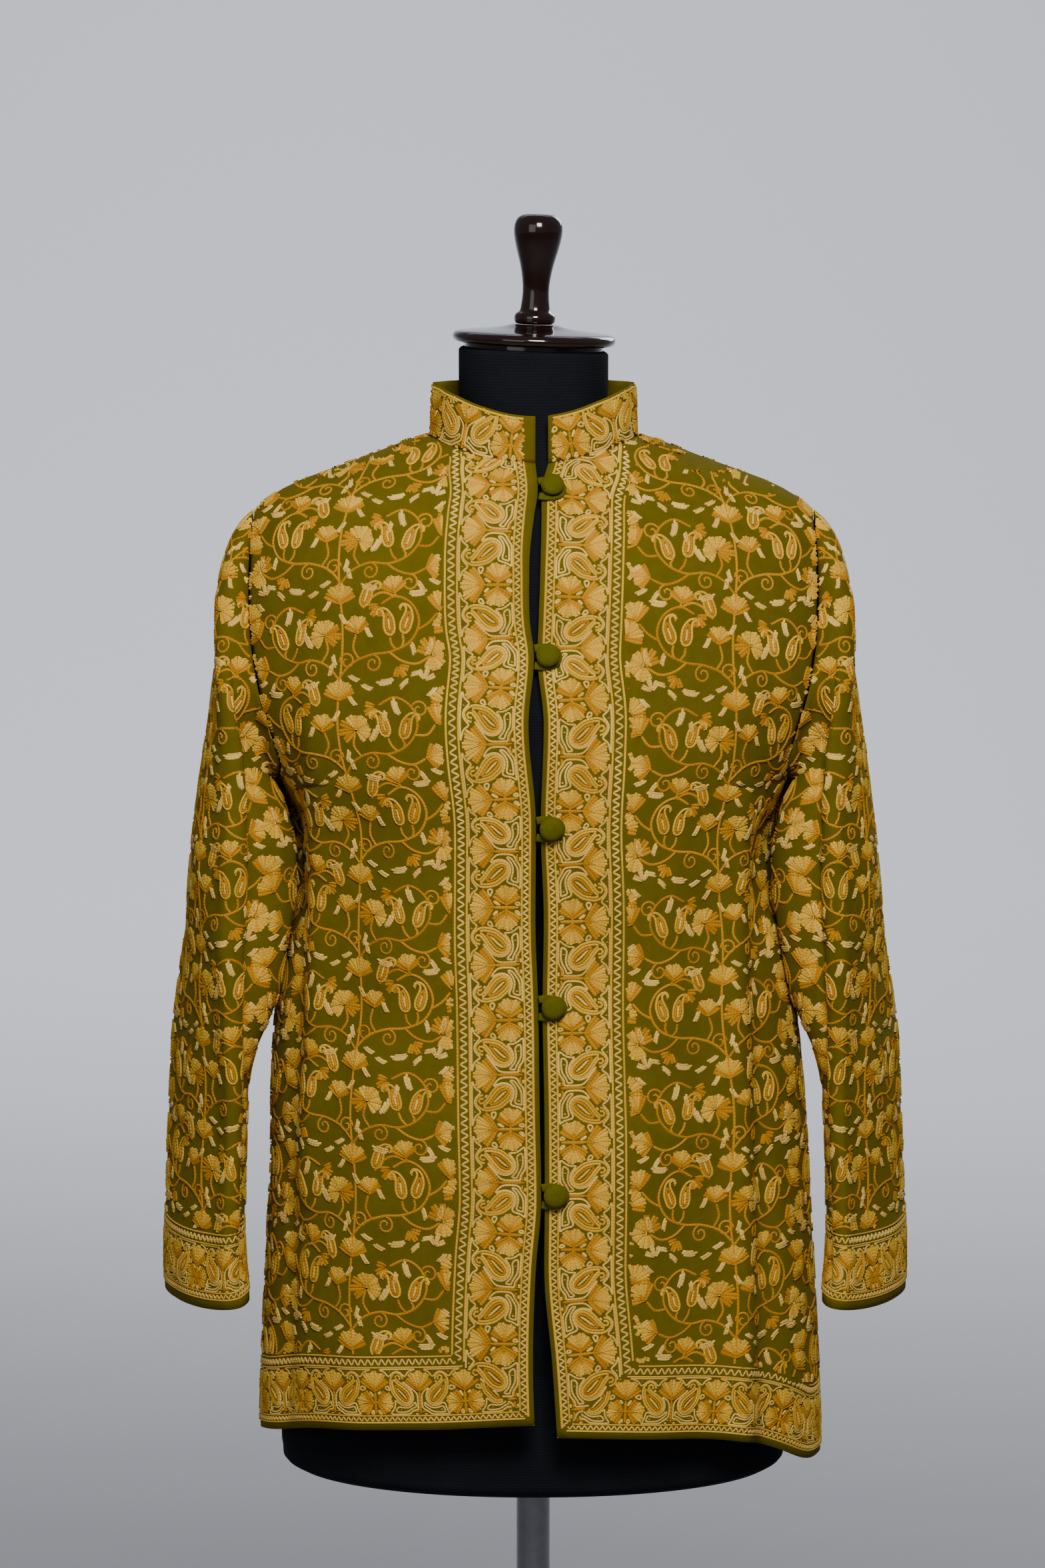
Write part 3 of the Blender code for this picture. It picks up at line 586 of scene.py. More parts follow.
def petal(base: Sequence[float], tip: Sequence[float], narrow: float, wide: float,
          thread: Thread, rows: int = 3, height: float = 1.1) -> list[Run]:
    """A petal filled with rows of chain stitch that spread from its base.

    Args:
        base: The middle of its base.
        tip: The middle of its tip.
        narrow: Its width at the base, mm.
        wide: Its width towards the tip, mm.
        thread: Its wool.
        rows: How many rows fill it.
        height: How high it stands, mm.

    Returns:
        The rows.
    """
    base, tip = np.asarray(base, float), np.asarray(tip, float)
    along = tip - base
    length = float(np.hypot(*along))
    aside = np.array([-along[1], along[0]]) / length
    t = np.linspace(0.0, 1.0, max(4, int(round(length / 3.2)) + 1))
    width = narrow + (wide - narrow) * np.sin(np.minimum(1.0, t * 1.25) * math.pi / 2) ** 1.2
    made = []
    for k in range(rows):
        offset = (k + 0.5) / rows - 0.5
        reach = 1.0 - 0.4 * offset**2
        line = base + along * (t * reach)[:, None] + aside * (width * offset)[:, None]
        half = width / rows * 0.64
        half[-1] *= 0.85
        half[0] *= 0.8
        made.append(Run(line, half, height, thread))
    return made


def fan_flower(petals: int = 5, radius: float = 15.0, spread: float = 110.0,
               cup: float = 0.78) -> list[Run]:
    """A flower seen from the side: a fan of gold lobes held between two orange sepals.

    Args:
        petals: How many lobes it has.
        radius: How far they reach, mm.
        spread: The angle that they fill, in degrees.
        cup: How far the sepals reach, as a share.

    Returns:
        The runs, with the flower's base at the origin.
    """
    made = []
    step = spread / petals
    wide = 2 * radius * math.sin(math.radians(step) / 2)
    for k in range(petals):
        way = towards(-spread / 2 + (k + 0.5) * step)
        reach = radius * (0.92 if k % 2 else 1.0)
        made += petal(way * radius * 0.14, way * reach, 1.3, wide * 1.04, Thread.GOLD, 2)
    for sign in (-1, 1):
        tip = towards(sign * (spread / 2 + 15.0)) * radius * cup
        made += petal((0.0, -1.0), tip, 2.4, 4.9, Thread.ORANGE, 2, 1.2)
    made.append(run(((0, -2.0), (0, radius * 0.30)), Thread.ORANGE, 3.0, 2.4, 1.4))
    made.append(run(((0, radius * 0.34), (0.3, radius * 0.34 + 1.8)), Thread.CREAM, 2.0, 1.8, 1.6))
    return made


def spray(radius: float = 11.5) -> list[Run]:
    """A flower seen aslant: gold lobes on one side and three orange ones on the other."""
    made = []
    for k, degrees in enumerate((60, 92, 124)):
        way = towards(degrees)
        made += petal(way * 1.0, way * radius * (1.16, 1.22, 1.05)[k], 2.6, 5.2, Thread.ORANGE, 2, 1.0)
    for k, degrees in enumerate((-140, -107, -74, -41, -8, 25)):
        way = towards(degrees)
        made += petal(way * 1.2, way * radius * (0.92 + 0.08 * (k % 2)), 1.6, radius * 0.56,
                      Thread.GOLD, 2, 1.2)
    made.append(run(((-1.0, 0), (0.8, 0.6)), Thread.CREAM, 2.2, 1.8, 1.6))
    return made


def paisley(length: float = 24.0, half: float = 5.4, hook: float = 1.0,
            core: bool = True) -> list[Run]:
    """A drop with a hooked tip: a gold outline, an orange one inside it, and a cream core.

    Args:
        length: From its round end to the top of its hook, mm.
        half: Half its width at the round end, mm.
        hook: How far its tip bends over, and to which side.
        core: Whether its middle is filled.

    Returns:
        The runs, with the round end at the origin.
    """
    spine = smooth_line(((0, 0), (0.01 * hook * length, 0.3 * length),
                         (-0.02 * hook * length, 0.62 * length),
                         (0.07 * hook * length, 0.9 * length),
                         (0.24 * hook * length, 0.97 * length),
                         (0.34 * hook * length, 0.85 * length),
                         (0.28 * hook * length, 0.74 * length)), 0.8)
    t = np.linspace(0.0, 1.0, len(spine))
    width = np.interp(t, (0.0, 0.03, 0.1, 0.22, 0.4, 0.58, 0.74, 0.9, 1.0),
                      (0.0, 0.45, 0.85, 1.0, 0.92, 0.6, 0.3, 0.24, 0.3)) * half
    along = np.gradient(spine, axis=0)
    along /= np.hypot(*along.T)[:, None]
    aside = np.stack([-along[:, 1], along[:, 0]], axis=-1)
    made = []
    rings = ((1.0, Thread.GOLD), (2.95, Thread.ORANGE))
    if half > 7.0:
        rings = ((1.0, Thread.GOLD), (3.0, Thread.GOLD), (5.0, Thread.ORANGE))
    for inset, thread in rings:
        wide = width - inset
        inside = np.flatnonzero(wide > 0.25)
        if len(inside) < 4:
            continue
        inside = inside[inside < inside[0] + np.count_nonzero(np.diff(inside) == 1) + 1]
        left = spine[inside] + aside[inside] * wide[inside, None]
        right = spine[inside] - aside[inside] * wide[inside, None]
        ring = np.concatenate([left[::-1], right])
        line = evenly(ring, 2.3)
        made.append(Run(line, np.full(len(line), 1.06), 1.1, thread))
        if inset == 1.0:
            tail = spine[inside[-1]:]
            if len(tail) > 2:
                made.append(run(tail, thread, 2.2, 2.2))
    if core:
        low, high = int(0.14 * len(spine)), int(0.46 * len(spine))
        made.append(run(spine[low:high], Thread.CREAM, 2.0, 2.4, 1.25))
    return made


def leaf(length: float = 13.5) -> list[Run]:
    """A curved cream leaf of three close rows, the middle one longest."""
    rows = ((-1.5, 0.06, 0.76), (0.0, 0.0, 1.0), (1.5, 0.1, 0.86))
    return [run([(x * (0.85 + 0.2 * t) + 1.6 * math.sin(t * 2.6), t * length)
                 for t in np.linspace(low, high, 5)], Thread.CREAM, 2.35, 3.0, 1.2, 0.85)
            for x, low, high in rows]


def small_leaf(length: float = 9.5) -> list[Run]:
    """A cream leaf of two close rows."""
    return [run([(x + 0.9 * math.sin(t * 2.6), t * length) for t in np.linspace(low, high, 4)],
                Thread.CREAM, 2.3, 2.8, 1.2, 0.85)
            for x, low, high in ((-0.8, 0.0, 0.86), (0.8, 0.08, 1.0))]


def trefoil(length: float = 9.5) -> list[Run]:
    """A cream leaf of three lobes."""
    made = []
    for degrees, reach in ((-46, 0.9), (0, 1.1), (46, 0.9)):
        way = towards(degrees)
        made += petal(way * 0.8, way * length * reach, 1.8, 3.9, Thread.CREAM, 2, 1.2)
    return made


def bud() -> list[Run]:
    """A little orange flower of three petals."""
    made = []
    for degrees, reach in ((-42, 8.5), (0, 10.0), (42, 8.5)):
        way = towards(degrees)
        made += petal(way * 1.2, way * reach, 2.2, 4.6, Thread.ORANGE, 2)
    return made


def tendril(radius: float = 6.5, turns: float = 1.35) -> list[Run]:
    """An orange spiral that curls to the right from the origin."""
    t = np.linspace(0.0, 1.0, 30)
    size = radius * (1.0 - 0.78 * t)
    angle = math.pi - t * turns * 2 * math.pi
    centre = np.array([radius, 0.0])
    line = centre + np.stack([np.cos(angle), np.sin(angle)], axis=-1) * size[:, None]
    line[:, 0] -= radius * 0.12 * t
    return [run(line, Thread.ORANGE, 2.0, 2.4)]


def vine(*points: tuple[float, float]) -> list[Run]:
    """An orange stem through points."""
    return [run(points, Thread.ORANGE, 2.35, 3.0, 1.05, 0.8)]


class Motif(Enum):
    """What the repeat of the field is composed of."""

    FAN = "fan"
    SMALL_FAN = "small fan"
    SPRAY = "spray"
    PAISLEY = "paisley"
    LEAF = "leaf"
    SMALL_LEAF = "small leaf"
    TREFOIL = "trefoil"
    BUD = "bud"
    TENDRIL = "tendril"

    def runs(self) -> list[Run]:
        """The motif's runs about its own origin."""
        made = {Motif.FAN: lambda: fan_flower(5, 13.5, 100.0, 0.95),
                Motif.SMALL_FAN: lambda: fan_flower(4, 11.5, 84.0, 0.9), Motif.SPRAY: spray,
                Motif.PAISLEY: lambda: paisley(21.5, 5.0), Motif.LEAF: leaf,
                Motif.SMALL_LEAF: small_leaf, Motif.TREFOIL: trefoil, Motif.BUD: bud,
                Motif.TENDRIL: tendril}
        return made[self]()


@dataclass(frozen=True)
class Repeat:
    """The field's repeat: one half, which is turned over for the other, in mm."""

    half_width: float = 78.0
    height: float = 135.5

    # motif, across, down, turn, mirrored
    MOTIFS = (
        (Motif.FAN, 78, 8, 0, False), (Motif.SPRAY, 8, 115, -58, False),
        (Motif.FAN, 3, 82, -24, False), (Motif.SMALL_FAN, 64, 97, 6, False),
        (Motif.SMALL_FAN, 13, 52, -78, False), (Motif.FAN, 5, 27, -38, False),
        (Motif.SPRAY, 66, 31, 4, False), (Motif.SMALL_FAN, 37, 69, 10, False),
        (Motif.BUD, 50, 15, 118, False), (Motif.BUD, 33, 122, -150, False),
        (Motif.BUD, 47, 79, 140, False),
        (Motif.PAISLEY, 29, 100, -12, False), (Motif.PAISLEY, 38, 101, 14, False),
        (Motif.PAISLEY, 32, 39, -22, True), (Motif.PAISLEY, 42, 37, 20, False),
        (Motif.PAISLEY, 61, 80, -24, True),
        (Motif.TENDRIL, 52, 114, -90, True), (Motif.TENDRIL, 56, 48, -90, True),
        (Motif.TENDRIL, 24, 16, -20, True), (Motif.TENDRIL, 78, 118, 0, True),
        (Motif.TENDRIL, 26, 57, -90, True),
        (Motif.LEAF, 49, 67, 70, False), (Motif.SMALL_LEAF, 70, 60, 10, False),
        (Motif.LEAF, 8, 103, 152, False), (Motif.SMALL_LEAF, 15, 70, 38, True),
        (Motif.LEAF, 26, 71, -76, True), (Motif.SMALL_LEAF, 53, 102, 24, False),
        (Motif.LEAF, 36, 132, 92, False), (Motif.SMALL_LEAF, 24, 129, -84, False),
        (Motif.SMALL_LEAF, 62, 132, 58, False), (Motif.TREFOIL, 14, 133, -18, False),
        (Motif.SMALL_LEAF, 9, 43, -128, False), (Motif.LEAF, 56, 40, -24, True),
        (Motif.SMALL_LEAF, 65, 14, 32, False), (Motif.SMALL_LEAF, 12, 9, -40, True),
        (Motif.SMALL_LEAF, 32, 3, -52, False), (Motif.SMALL_LEAF, 52, 3, 60, False),
        (Motif.SMALL_LEAF, 73, 45, 158, False), (Motif.SMALL_LEAF, 72, 92, 30, False),
        (Motif.SMALL_LEAF, 3, 64, 60, False),
        (Motif.SMALL_LEAF, 21, 115, 20, True), (Motif.LEAF, 33, 22, 12, False),
        (Motif.SMALL_LEAF, 43, 18, 160, False))

    VINES = (
        ((78, 129), (69, 120), (54, 114), (38, 112), (24, 105), (18, 91), (24, 78), (36, 73),
         (46, 78)),
        ((78, 63), (69, 53), (56, 48), (42, 49), (28, 43), (20, 30), (24, 16), (36, 9), (48, 14)),
        ((40, 112), (30, 119), (19, 121), (10, 116)), ((19, 97), (11, 92), (5, 85)),
        ((62, 117), (67, 109), (65, 99)), ((44, 49), (34, 55), (24, 57), (15, 53)),
        ((22, 36), (13, 36), (7, 29)), ((64, 50), (69, 42), (67, 33)),
        ((36, 73), (46, 70), (54, 74), (60, 81)), ((33, 74), (36, 72), (37, 69)),
        ((31, 110), (29, 105), (30, 100)),
        ((34, 111), (38, 107), (39, 102)), ((31, 45), (30, 42), (32, 39)),
        ((36, 47), (40, 43), (42, 38)))

    def half(self) -> list[Run]:
        """The runs of one half of the repeat."""
        made = [r for points in self.VINES for r in vine(*points)]
        for motif, across, down, turn, mirrored in self.MOTIFS:
            made += turned_by(motif.runs(), (across, down), turn, 1.0, mirrored)
        return made

    def over(self, low: np.ndarray, high: np.ndarray) -> list[Run]:
        """The runs that cover a rectangle of the cut.

        Args:
            low: Its least across and down, mm.
            high: Its greatest across and down, mm.

        Returns:
            The runs, which may stick out of it.
        """
        half = self.half()
        made = []
        v = np.linspace(low[1] - self.height, high[1] + self.height, 60)
        for column in range(-9, 10, 2):
            trunk = column * self.half_width + 2.6 * np.sin(v * 2 * math.pi / self.height)
            if low[0] < column * self.half_width < high[0]:
                made += vine(*np.stack([trunk, v], axis=-1))
        first, last = (int(math.floor(v / self.half_width)) for v in (low[0], high[0]))
        for column in range(first - (first < 0), last + 1):
            sign, slip = (1.0, 0.0) if column % 2 == 0 else (-1.0, self.height / 2)
            start = (column if column % 2 == 0 else column + 1) * self.half_width
            for k in range(int(math.floor(low[1] / self.height)) - 1,
                           int(math.ceil(high[1] / self.height)) + 1):
                shift = np.array([start, k * self.height + slip])
                made += [Run(r.line * np.array([sign, 1.0]) + shift, r.half, r.height, r.thread)
                         for r in half]
        return made

    def on_panel(self, sheet: Sheet, corner: np.ndarray) -> list[Run]:
        """The runs that cover a whole cut.

        Args:
            sheet: The cut's sheet.
            corner: Where a repeat begins on it, across and down.

        Returns:
            The runs, on the cut.
        """
        low, high = sheet.flat.min(axis=(0, 1)), sheet.flat.max(axis=(0, 1))
        return [Run(r.line + corner, r.half, r.height, r.thread)
                for r in self.over(low - corner, high - corner)]


def level_lines(values: np.ndarray, level: float) -> list[np.ndarray]:
    """The lines along which a grid of values crosses a level.

    Args:
        values: The grid.
        level: The level.

    Returns:
        Each line's points, in rows and columns of the grid.
    """
    above = values > level
    links: dict[tuple[int, int, int], list[tuple[int, int, int]]] = {}
    mixed = above[:-1, :-1].astype(int) + above[1:, :-1] + above[:-1, 1:] + above[1:, 1:]
    for i, j in np.argwhere((mixed > 0) & (mixed < 4)):
        i, j = int(i), int(j)
        sides = ((0, i, j), (1, i, j + 1), (0, i + 1, j), (1, i, j))
        ends = (((i, j), (i, j + 1)), ((i, j + 1), (i + 1, j + 1)),
                ((i + 1, j), (i + 1, j + 1)), ((i, j), (i + 1, j)))
        cut = [side for side, (a, b) in zip(sides, ends) if above[a] != above[b]]
        for a, b in zip(cut[::2], cut[1::2]):
            links.setdefault(a, []).append(b)
            links.setdefault(b, []).append(a)

    def spot(key: tuple[int, int, int]) -> tuple[float, float]:
        """Where the level crosses one side of a cell."""
        way, i, j = key
        other = (i, j + 1) if way == 0 else (i + 1, j)
        share = (level - values[i, j]) / (values[other] - values[i, j])
        return (i, j + share) if way == 0 else (i + share, j)

    lines = []
    starts = [key for key, found in links.items() if len(found) == 1] + list(links)
    used: set[tuple[int, int, int]] = set()
    for start in starts:
        if start in used:
            continue
        chain, here = [start], start
        used.add(start)
        while True:
            onward = [key for key in links[here] if key not in used]
            if not onward:
                break
            here = onward[0]
            used.add(here)
            chain.append(here)
        if start in links[here] and len(chain) > 4:
            chain.append(start)
        if len(chain) > 3:
            lines.append(np.array([spot(key) for key in chain]))
    return lines


@dataclass(frozen=True)
class Border:
    """The solid border: flowers and paisleys in a ground of rows that follow their outlines."""

    period: float = 78.0
    depth: float = 57.0  # across the border, with its lines

    def motifs(self) -> list[Run]:
        """One repeat of the border's motifs: x along the border, y in from its outer line."""
        middle = self.period / 2
        made = []
        for x in (0.0, middle):
            made.append(run(((x, 8.6), (x, 18), (x, 27)), Thread.ORANGE, 2.8, 3.0, 1.2))
            made += turned_by(fan_flower(5, 16.0, 80.0, 0.88), (x, 28.4), 180)
        for sign in (-1, 1):
            made.append(run(((sign * 1.5, 9.6), (sign * 4.6, 10.6), (sign * 7.0, 9.0)),
                            Thread.ORANGE, 2.0, 2.4, 1.1))
            made += turned_by(paisley(27.5, 7.8, 0.9), (sign * 9.0, 16.2), sign * 143, 1.0, sign < 0)
            made += turned_by(fan_flower(4, 12.6, 88.0, 0.86), (middle + sign * 3.4, 17.6), sign * 90)
        made.append(run(((middle - 5, 17.6), (middle + 5, 17.6)), Thread.ORANGE, 2.6, 2.6, 1.3))
        return made

    def ground(self, motifs: list[Run]) -> list[Run]:
        """The rows that fill the ground, each following the outlines of what lies beside it.

        Args:
            motifs: One repeat of the motifs.

        Returns:
            One repeat of the rows, cream beside a motif and gold beyond.
        """
        cell = 0.5
        x, y = np.meshgrid(np.arange(0.0, self.period + cell / 2, cell),
                           np.arange(6.4, 46.4, cell), indexing="ij")
        away = np.minimum(y - 7.2, 45.4 - y)
        spots = np.concatenate([evenly(r.line, 0.7) for r in motifs])
        spreads = np.concatenate([np.full(len(evenly(r.line, 0.7)), r.half.max())
                                  for r in motifs])
        for shift in (-self.period, 0.0, self.period):
            moved = spots + np.array([shift, 0.0])
            near = (moved[:, 0] > -12) & (moved[:, 0] < self.period + 12)
            for spot, spread in zip(moved[near], spreads[near]):
                i0, i1 = (int(np.clip((spot[0] + d) / cell, 0, x.shape[0])) for d in (-9, 10))
                j0, j1 = (int(np.clip((spot[1] - 6.4 + d) / cell, 0, x.shape[1]))
                          for d in (-9, 10))
                part = (slice(i0, i1), slice(j0, j1))
                gap = np.hypot(x[part] - spot[0], y[part] - spot[1]) - spread
                away[part] = np.minimum(away[part], gap)
        made = []
        for k, thread in enumerate((Thread.CREAM, Thread.CREAM, Thread.GOLD, Thread.GOLD)):
            for chain in level_lines(away, 0.42 + 1.75 * k):
                line = evenly(chain * cell + np.array([0.0, 6.4]), 1.9)
                if len(line) > 2:
                    for _ in range(4):
                        line[1:-1] = (line[:-2] + 2 * line[1:-1] + line[2:]) / 4
                    made.append(Run(line, np.full(len(line), 0.92), 0.8, thread))
        return made

    def zigzag(self, inset: float, swing: float, wave: float, width: float) -> Run:
        """One repeat of a cream zigzag."""
        x = np.linspace(0.0, self.period, int(self.period / wave) * 8 + 1)
        turns = round(self.period / wave)
        y = inset + swing * np.sin(x / self.period * turns * 2 * math.pi)
        return Run(np.stack([x, y], axis=-1), np.full(len(x), width / 2), 1.0, Thread.CREAM)

    def along(self, inset: float, width: float = 1.7) -> Run:
        """One repeat of a straight gold line."""
        x = np.linspace(0.0, self.period, int(self.period / 4.0))
        line = np.stack([x, np.full(len(x), inset)], axis=-1)
        return Run(line, np.full(len(x), width / 2), 0.95, Thread.GOLD)

    def repeat(self, outer_lines: bool = True, inner_lines: bool = True) -> list[Run]:
        """One repeat of the whole border."""
        motifs = self.motifs()
        made = motifs + self.ground(motifs)
        if outer_lines:
            made += [self.along(0.9, 1.9), self.zigzag(3.7, 1.5, 5.0, 1.6), self.along(6.5, 1.8)]
        if inner_lines:
            made += [self.along(46.4, 1.9), self.zigzag(50.8, 2.2, 6.0, 1.9), self.along(55.2, 1.9)]
        return made

    def laid_along(self, path: np.ndarray, inward: float, start: float, outset: np.ndarray,
                   scale: float = 1.0, **lines: bool) -> list[Run]:
        """The border laid along a path on the cut.

        Args:
            path: The edge's points, mm.
            inward: 1 if the cloth is to the right of the path's direction, and -1 if not.
            start: Where on the path a repeat begins, mm.
            outset: How far in from the edge the border's outer line is, at each point, mm.
            scale: The border's width, as a share.
            lines: Which of its lines are left out.

        Returns:
            The runs.
        """
        repeat = self.repeat(**lines)
        at = lengths_along(path)
        smooth = np.stack([np.convolve(np.pad(path[:, i], 4, "edge"), np.ones(9) / 9, "valid")
                           for i in (0, 1)], axis=-1)
        way = np.gradient(smooth, axis=0)
        way /= np.hypot(*way.T)[:, None]
        aside = np.stack([-way[:, 1], way[:, 0]], axis=-1) * inward
        made = []
        period = self.period * scale
        first = int(math.floor(-start / period)) - 1
        for k in range(first, int(math.ceil((at[-1] - start) / period)) + 1):
            for r in repeat:
                s = start + k * period + r.line[:, 0] * scale
                inside = np.clip(s, 0.0, at[-1])
                over = (s - inside)[:, None]
                foot = np.stack([np.interp(inside, at, path[:, i]) for i in (0, 1)], axis=-1)
                out = np.stack([np.interp(inside, at, aside[:, i]) for i in (0, 1)], axis=-1)
                onward = np.stack([np.interp(inside, at, way[:, i]) for i in (0, 1)], axis=-1)
                inset = np.interp(inside, at, outset) + r.line[:, 1] * scale
                line = foot + onward * over + out * inset[:, None]
                made.append(Run(line, r.half * scale, r.height, r.thread))
        return made


# ------------------------------------------------------------------ meshes
def mesh_object(name: str, points: np.ndarray, faces: np.ndarray,
                materials: Sequence[bpy.types.Material]) -> bpy.types.Object:
    """A smooth object from arrays, riding on the stand's one body.

    Args:
        name: Its name.
        points: Its points, in metres.
        faces: Its four-cornered faces, as indices of points.
        materials: Its material slots.

    Returns:
        The object.
    """
    data = bpy.data.meshes.new(name)
    data.vertices.add(len(points))
    data.vertices.foreach_set("co", points.astype(np.float32).ravel())
    data.loops.add(faces.size)
    data.loops.foreach_set("vertex_index", faces.astype(np.int32).ravel())
    data.polygons.add(len(faces))
    data.polygons.foreach_set("loop_start", np.arange(0, faces.size, faces.shape[1], dtype=np.int32))
    data.update(calc_edges=True)
    data.validate()
    data.shade_smooth()
    for finish in materials:
        data.materials.append(finish)
    made = bpy.data.objects.new(name, data)
    bpy.context.scene.collection.objects.link(made)
    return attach(made, "root")


def set_uv(made: bpy.types.Object, corners: np.ndarray) -> None:
    """Gives a mesh its UV map, one pair of values for each corner of its faces."""
    layer = made.data.uv_layers.new(name="cut")
    layer.data.foreach_set("uv", corners.astype(np.float32).ravel())


def shell(sheet: Sheet, thickness: float, finish: bpy.types.Material) -> bpy.types.Object:
    """The cloth of a sheet as a thin closed shell, its edges a little rounded.

    Args:
        sheet: The sheet.
        thickness: Of its cloth, mm.
        finish: Its material.

    Returns:
        The shell, named as the sheet is.
    """
    rows, columns = sheet.flat.shape[:2]
    wide = columns - 1 if sheet.tube else columns
    outer = sheet.points[:, :wide].copy()
    out = sheet.outward[:, :wide]
    inner = outer - out * thickness
    rounding = 0.28 * thickness
    for edge in (0, -1):
        outer[edge] -= out[edge] * rounding
        inner[edge] += out[edge] * rounding
        if not sheet.tube:
            outer[:, edge] -= out[:, edge] * rounding
            inner[:, edge] += out[:, edge] * rounding
    points = np.concatenate([outer.reshape(-1, 3), inner.reshape(-1, 3)]) * MM
    r, c = (a.ravel() for a in np.mgrid[0:rows - 1, 0:columns - 1])
    corner_rows = np.stack([r, r + 1, r + 1, r], axis=-1)
    corner_columns = np.stack([c, c, c + 1, c + 1], axis=-1)
    if sheet.flipped:
        corner_rows, corner_columns = corner_rows[:, ::-1], corner_columns[:, ::-1]
    # Down the rows and then across them turns a face away from the form, unless flipped.
    corner_rows, corner_columns = corner_rows[:, ::-1], corner_columns[:, ::-1]
    front = corner_rows * wide + corner_columns % wide
    back = front[:, ::-1] + rows * wide
    rims, rim_uv = [], []

    def close(first: np.ndarray, second: np.ndarray) -> None:
        """Joins the two layers along a line of their points."""
        a = first[:-1] * wide + second[:-1] % wide
        b = first[1:] * wide + second[1:] % wide
        rims.append(np.stack([a, b, b + rows * wide, a + rows * wide], axis=-1))
        uv = sheet.flat[first, second]
        rim_uv.append(np.stack([uv[:-1], uv[1:], uv[1:], uv[:-1]], axis=1))

    every_row, every_column = np.arange(rows), np.arange(columns)
    ends = [(np.zeros(columns, int), every_column, 1), (np.full(columns, rows - 1), every_column, 0)]
    if not sheet.tube:
        ends += [(every_row, np.zeros(rows, int), 0), (every_row, np.full(rows, columns - 1), 1)]
    for first, second, ahead in ends:
        if bool(ahead) != sheet.flipped:
            first, second = first[::-1], second[::-1]
        close(first, second)
    faces = np.concatenate([front, back, *rims])
    made = mesh_object(sheet.name, points, faces, [finish])
    front_uv = sheet.flat[corner_rows, corner_columns]
    uv = np.concatenate([front_uv, front_uv[:, ::-1], *rim_uv]) * MM
    set_uv(made, uv.reshape(-1, 2))
    return made


@dataclass
class Needlework:
    """All the chain stitch of one part of a sheet, as one object."""

    name: str
    sheet: Sheet
    runs: list[Run] = field(default_factory=list)

    def build(self, keep: Callable[[np.ndarray], np.ndarray],
              threads: Sequence[bpy.types.Material]) -> bpy.types.Object:
        """Lifts the runs onto the cloth and makes their rounded rows.

        Args:
            keep: Says which spots of the cut may be stitched.
            threads: The threads' materials.

        Returns:
            The embroidery.
        """
        spots = np.concatenate([r.line for r in self.runs])
        half = np.concatenate([r.half for r in self.runs])
        height = np.concatenate([np.full(len(r.line), r.height) for r in self.runs])
        thread = np.concatenate([np.full(len(r.line), r.thread.value) for r in self.runs])
        number = np.concatenate([np.full(len(r.line), i) for i, r in enumerate(self.runs)])
        low, high = self.sheet.flat.min(axis=(0, 1)) - 2, self.sheet.flat.max(axis=(0, 1)) + 2
        near = ((spots > low) & (spots < high)).all(axis=1)
        kept = np.zeros(len(spots), bool)
        place = np.zeros_like(spots)
        place[near] = self.sheet.find(spots[near])
        kept[near] = self.sheet.holds(place[near]) & keep(spots[near])
        joined = kept[:-1] & kept[1:] & (number[:-1] == number[1:])
        linked = np.concatenate([joined, [False]]) | np.concatenate([[False], joined])
        index = np.flatnonzero(linked)
        renumber = np.full(len(spots), -1)
        renumber[index] = np.arange(len(index))
        first = renumber[np.flatnonzero(joined)]
        ahead = np.zeros_like(spots)
        ahead[:-1][joined] += (spots[1:] - spots[:-1])[joined]
        ahead[1:][joined] += (spots[1:] - spots[:-1])[joined]
        ahead = ahead[index]
        ahead /= np.maximum(np.hypot(*ahead.T), 1e-6)[:, None]
        aside = np.stack([-ahead[:, 1], ahead[:, 0]], axis=-1) * half[index, None]
        middle, tall = spots[index], height[index]
        lines = []
        for sign, share, lift in ((-1, 1.0, -0.35), (-1, 0.0, 1.0), (1, 1.0, -0.35)):
            at = self.sheet.find(middle + sign * share * aside) if share else place[index]
            at = np.where(self.sheet.holds(at, 0.5)[:, None], at, place[index])
            lines.append(self.sheet.lift(at, tall * lift if lift > 0 else np.full(len(at), lift)))
        count = len(index)
        points = np.stack(lines, axis=1).reshape(-1, 3)
        left, crest, right = first * 3, first * 3 + 1, first * 3 + 2
        faces = np.concatenate([np.stack([left, left + 3, crest + 3, crest], axis=-1),
                                np.stack([crest, crest + 3, right + 3, right], axis=-1)])
        if not self.sheet.flipped:
            faces = faces[:, ::-1]
        made = mesh_object(self.name, points, faces, threads)
        slots = np.tile(thread[np.flatnonzero(joined)], 2).astype(np.int32)
        made.data.polygons.foreach_set("material_index", slots)
        gaps = np.zeros(count)
        gaps[renumber[np.flatnonzero(joined)] + 1] = np.hypot(*(spots[1:] - spots[:-1])[joined].T)
        along = np.cumsum(gaps)
        uv = np.stack([np.repeat(along, 3), np.tile([0.0, 1.0, 2.0], count)], axis=-1)
        set_uv(made, (uv * np.array([MM, 0.5]))[faces.ravel()])
        shades = np.random.default_rng(5).uniform(0.0, 1.0, len(self.runs))
        shade = made.data.attributes.new("shade", "FLOAT", "POINT")
        shade.data.foreach_set("value", np.repeat(shades[number[index]], 3).astype(np.float32))
        made.data.update()
        return made


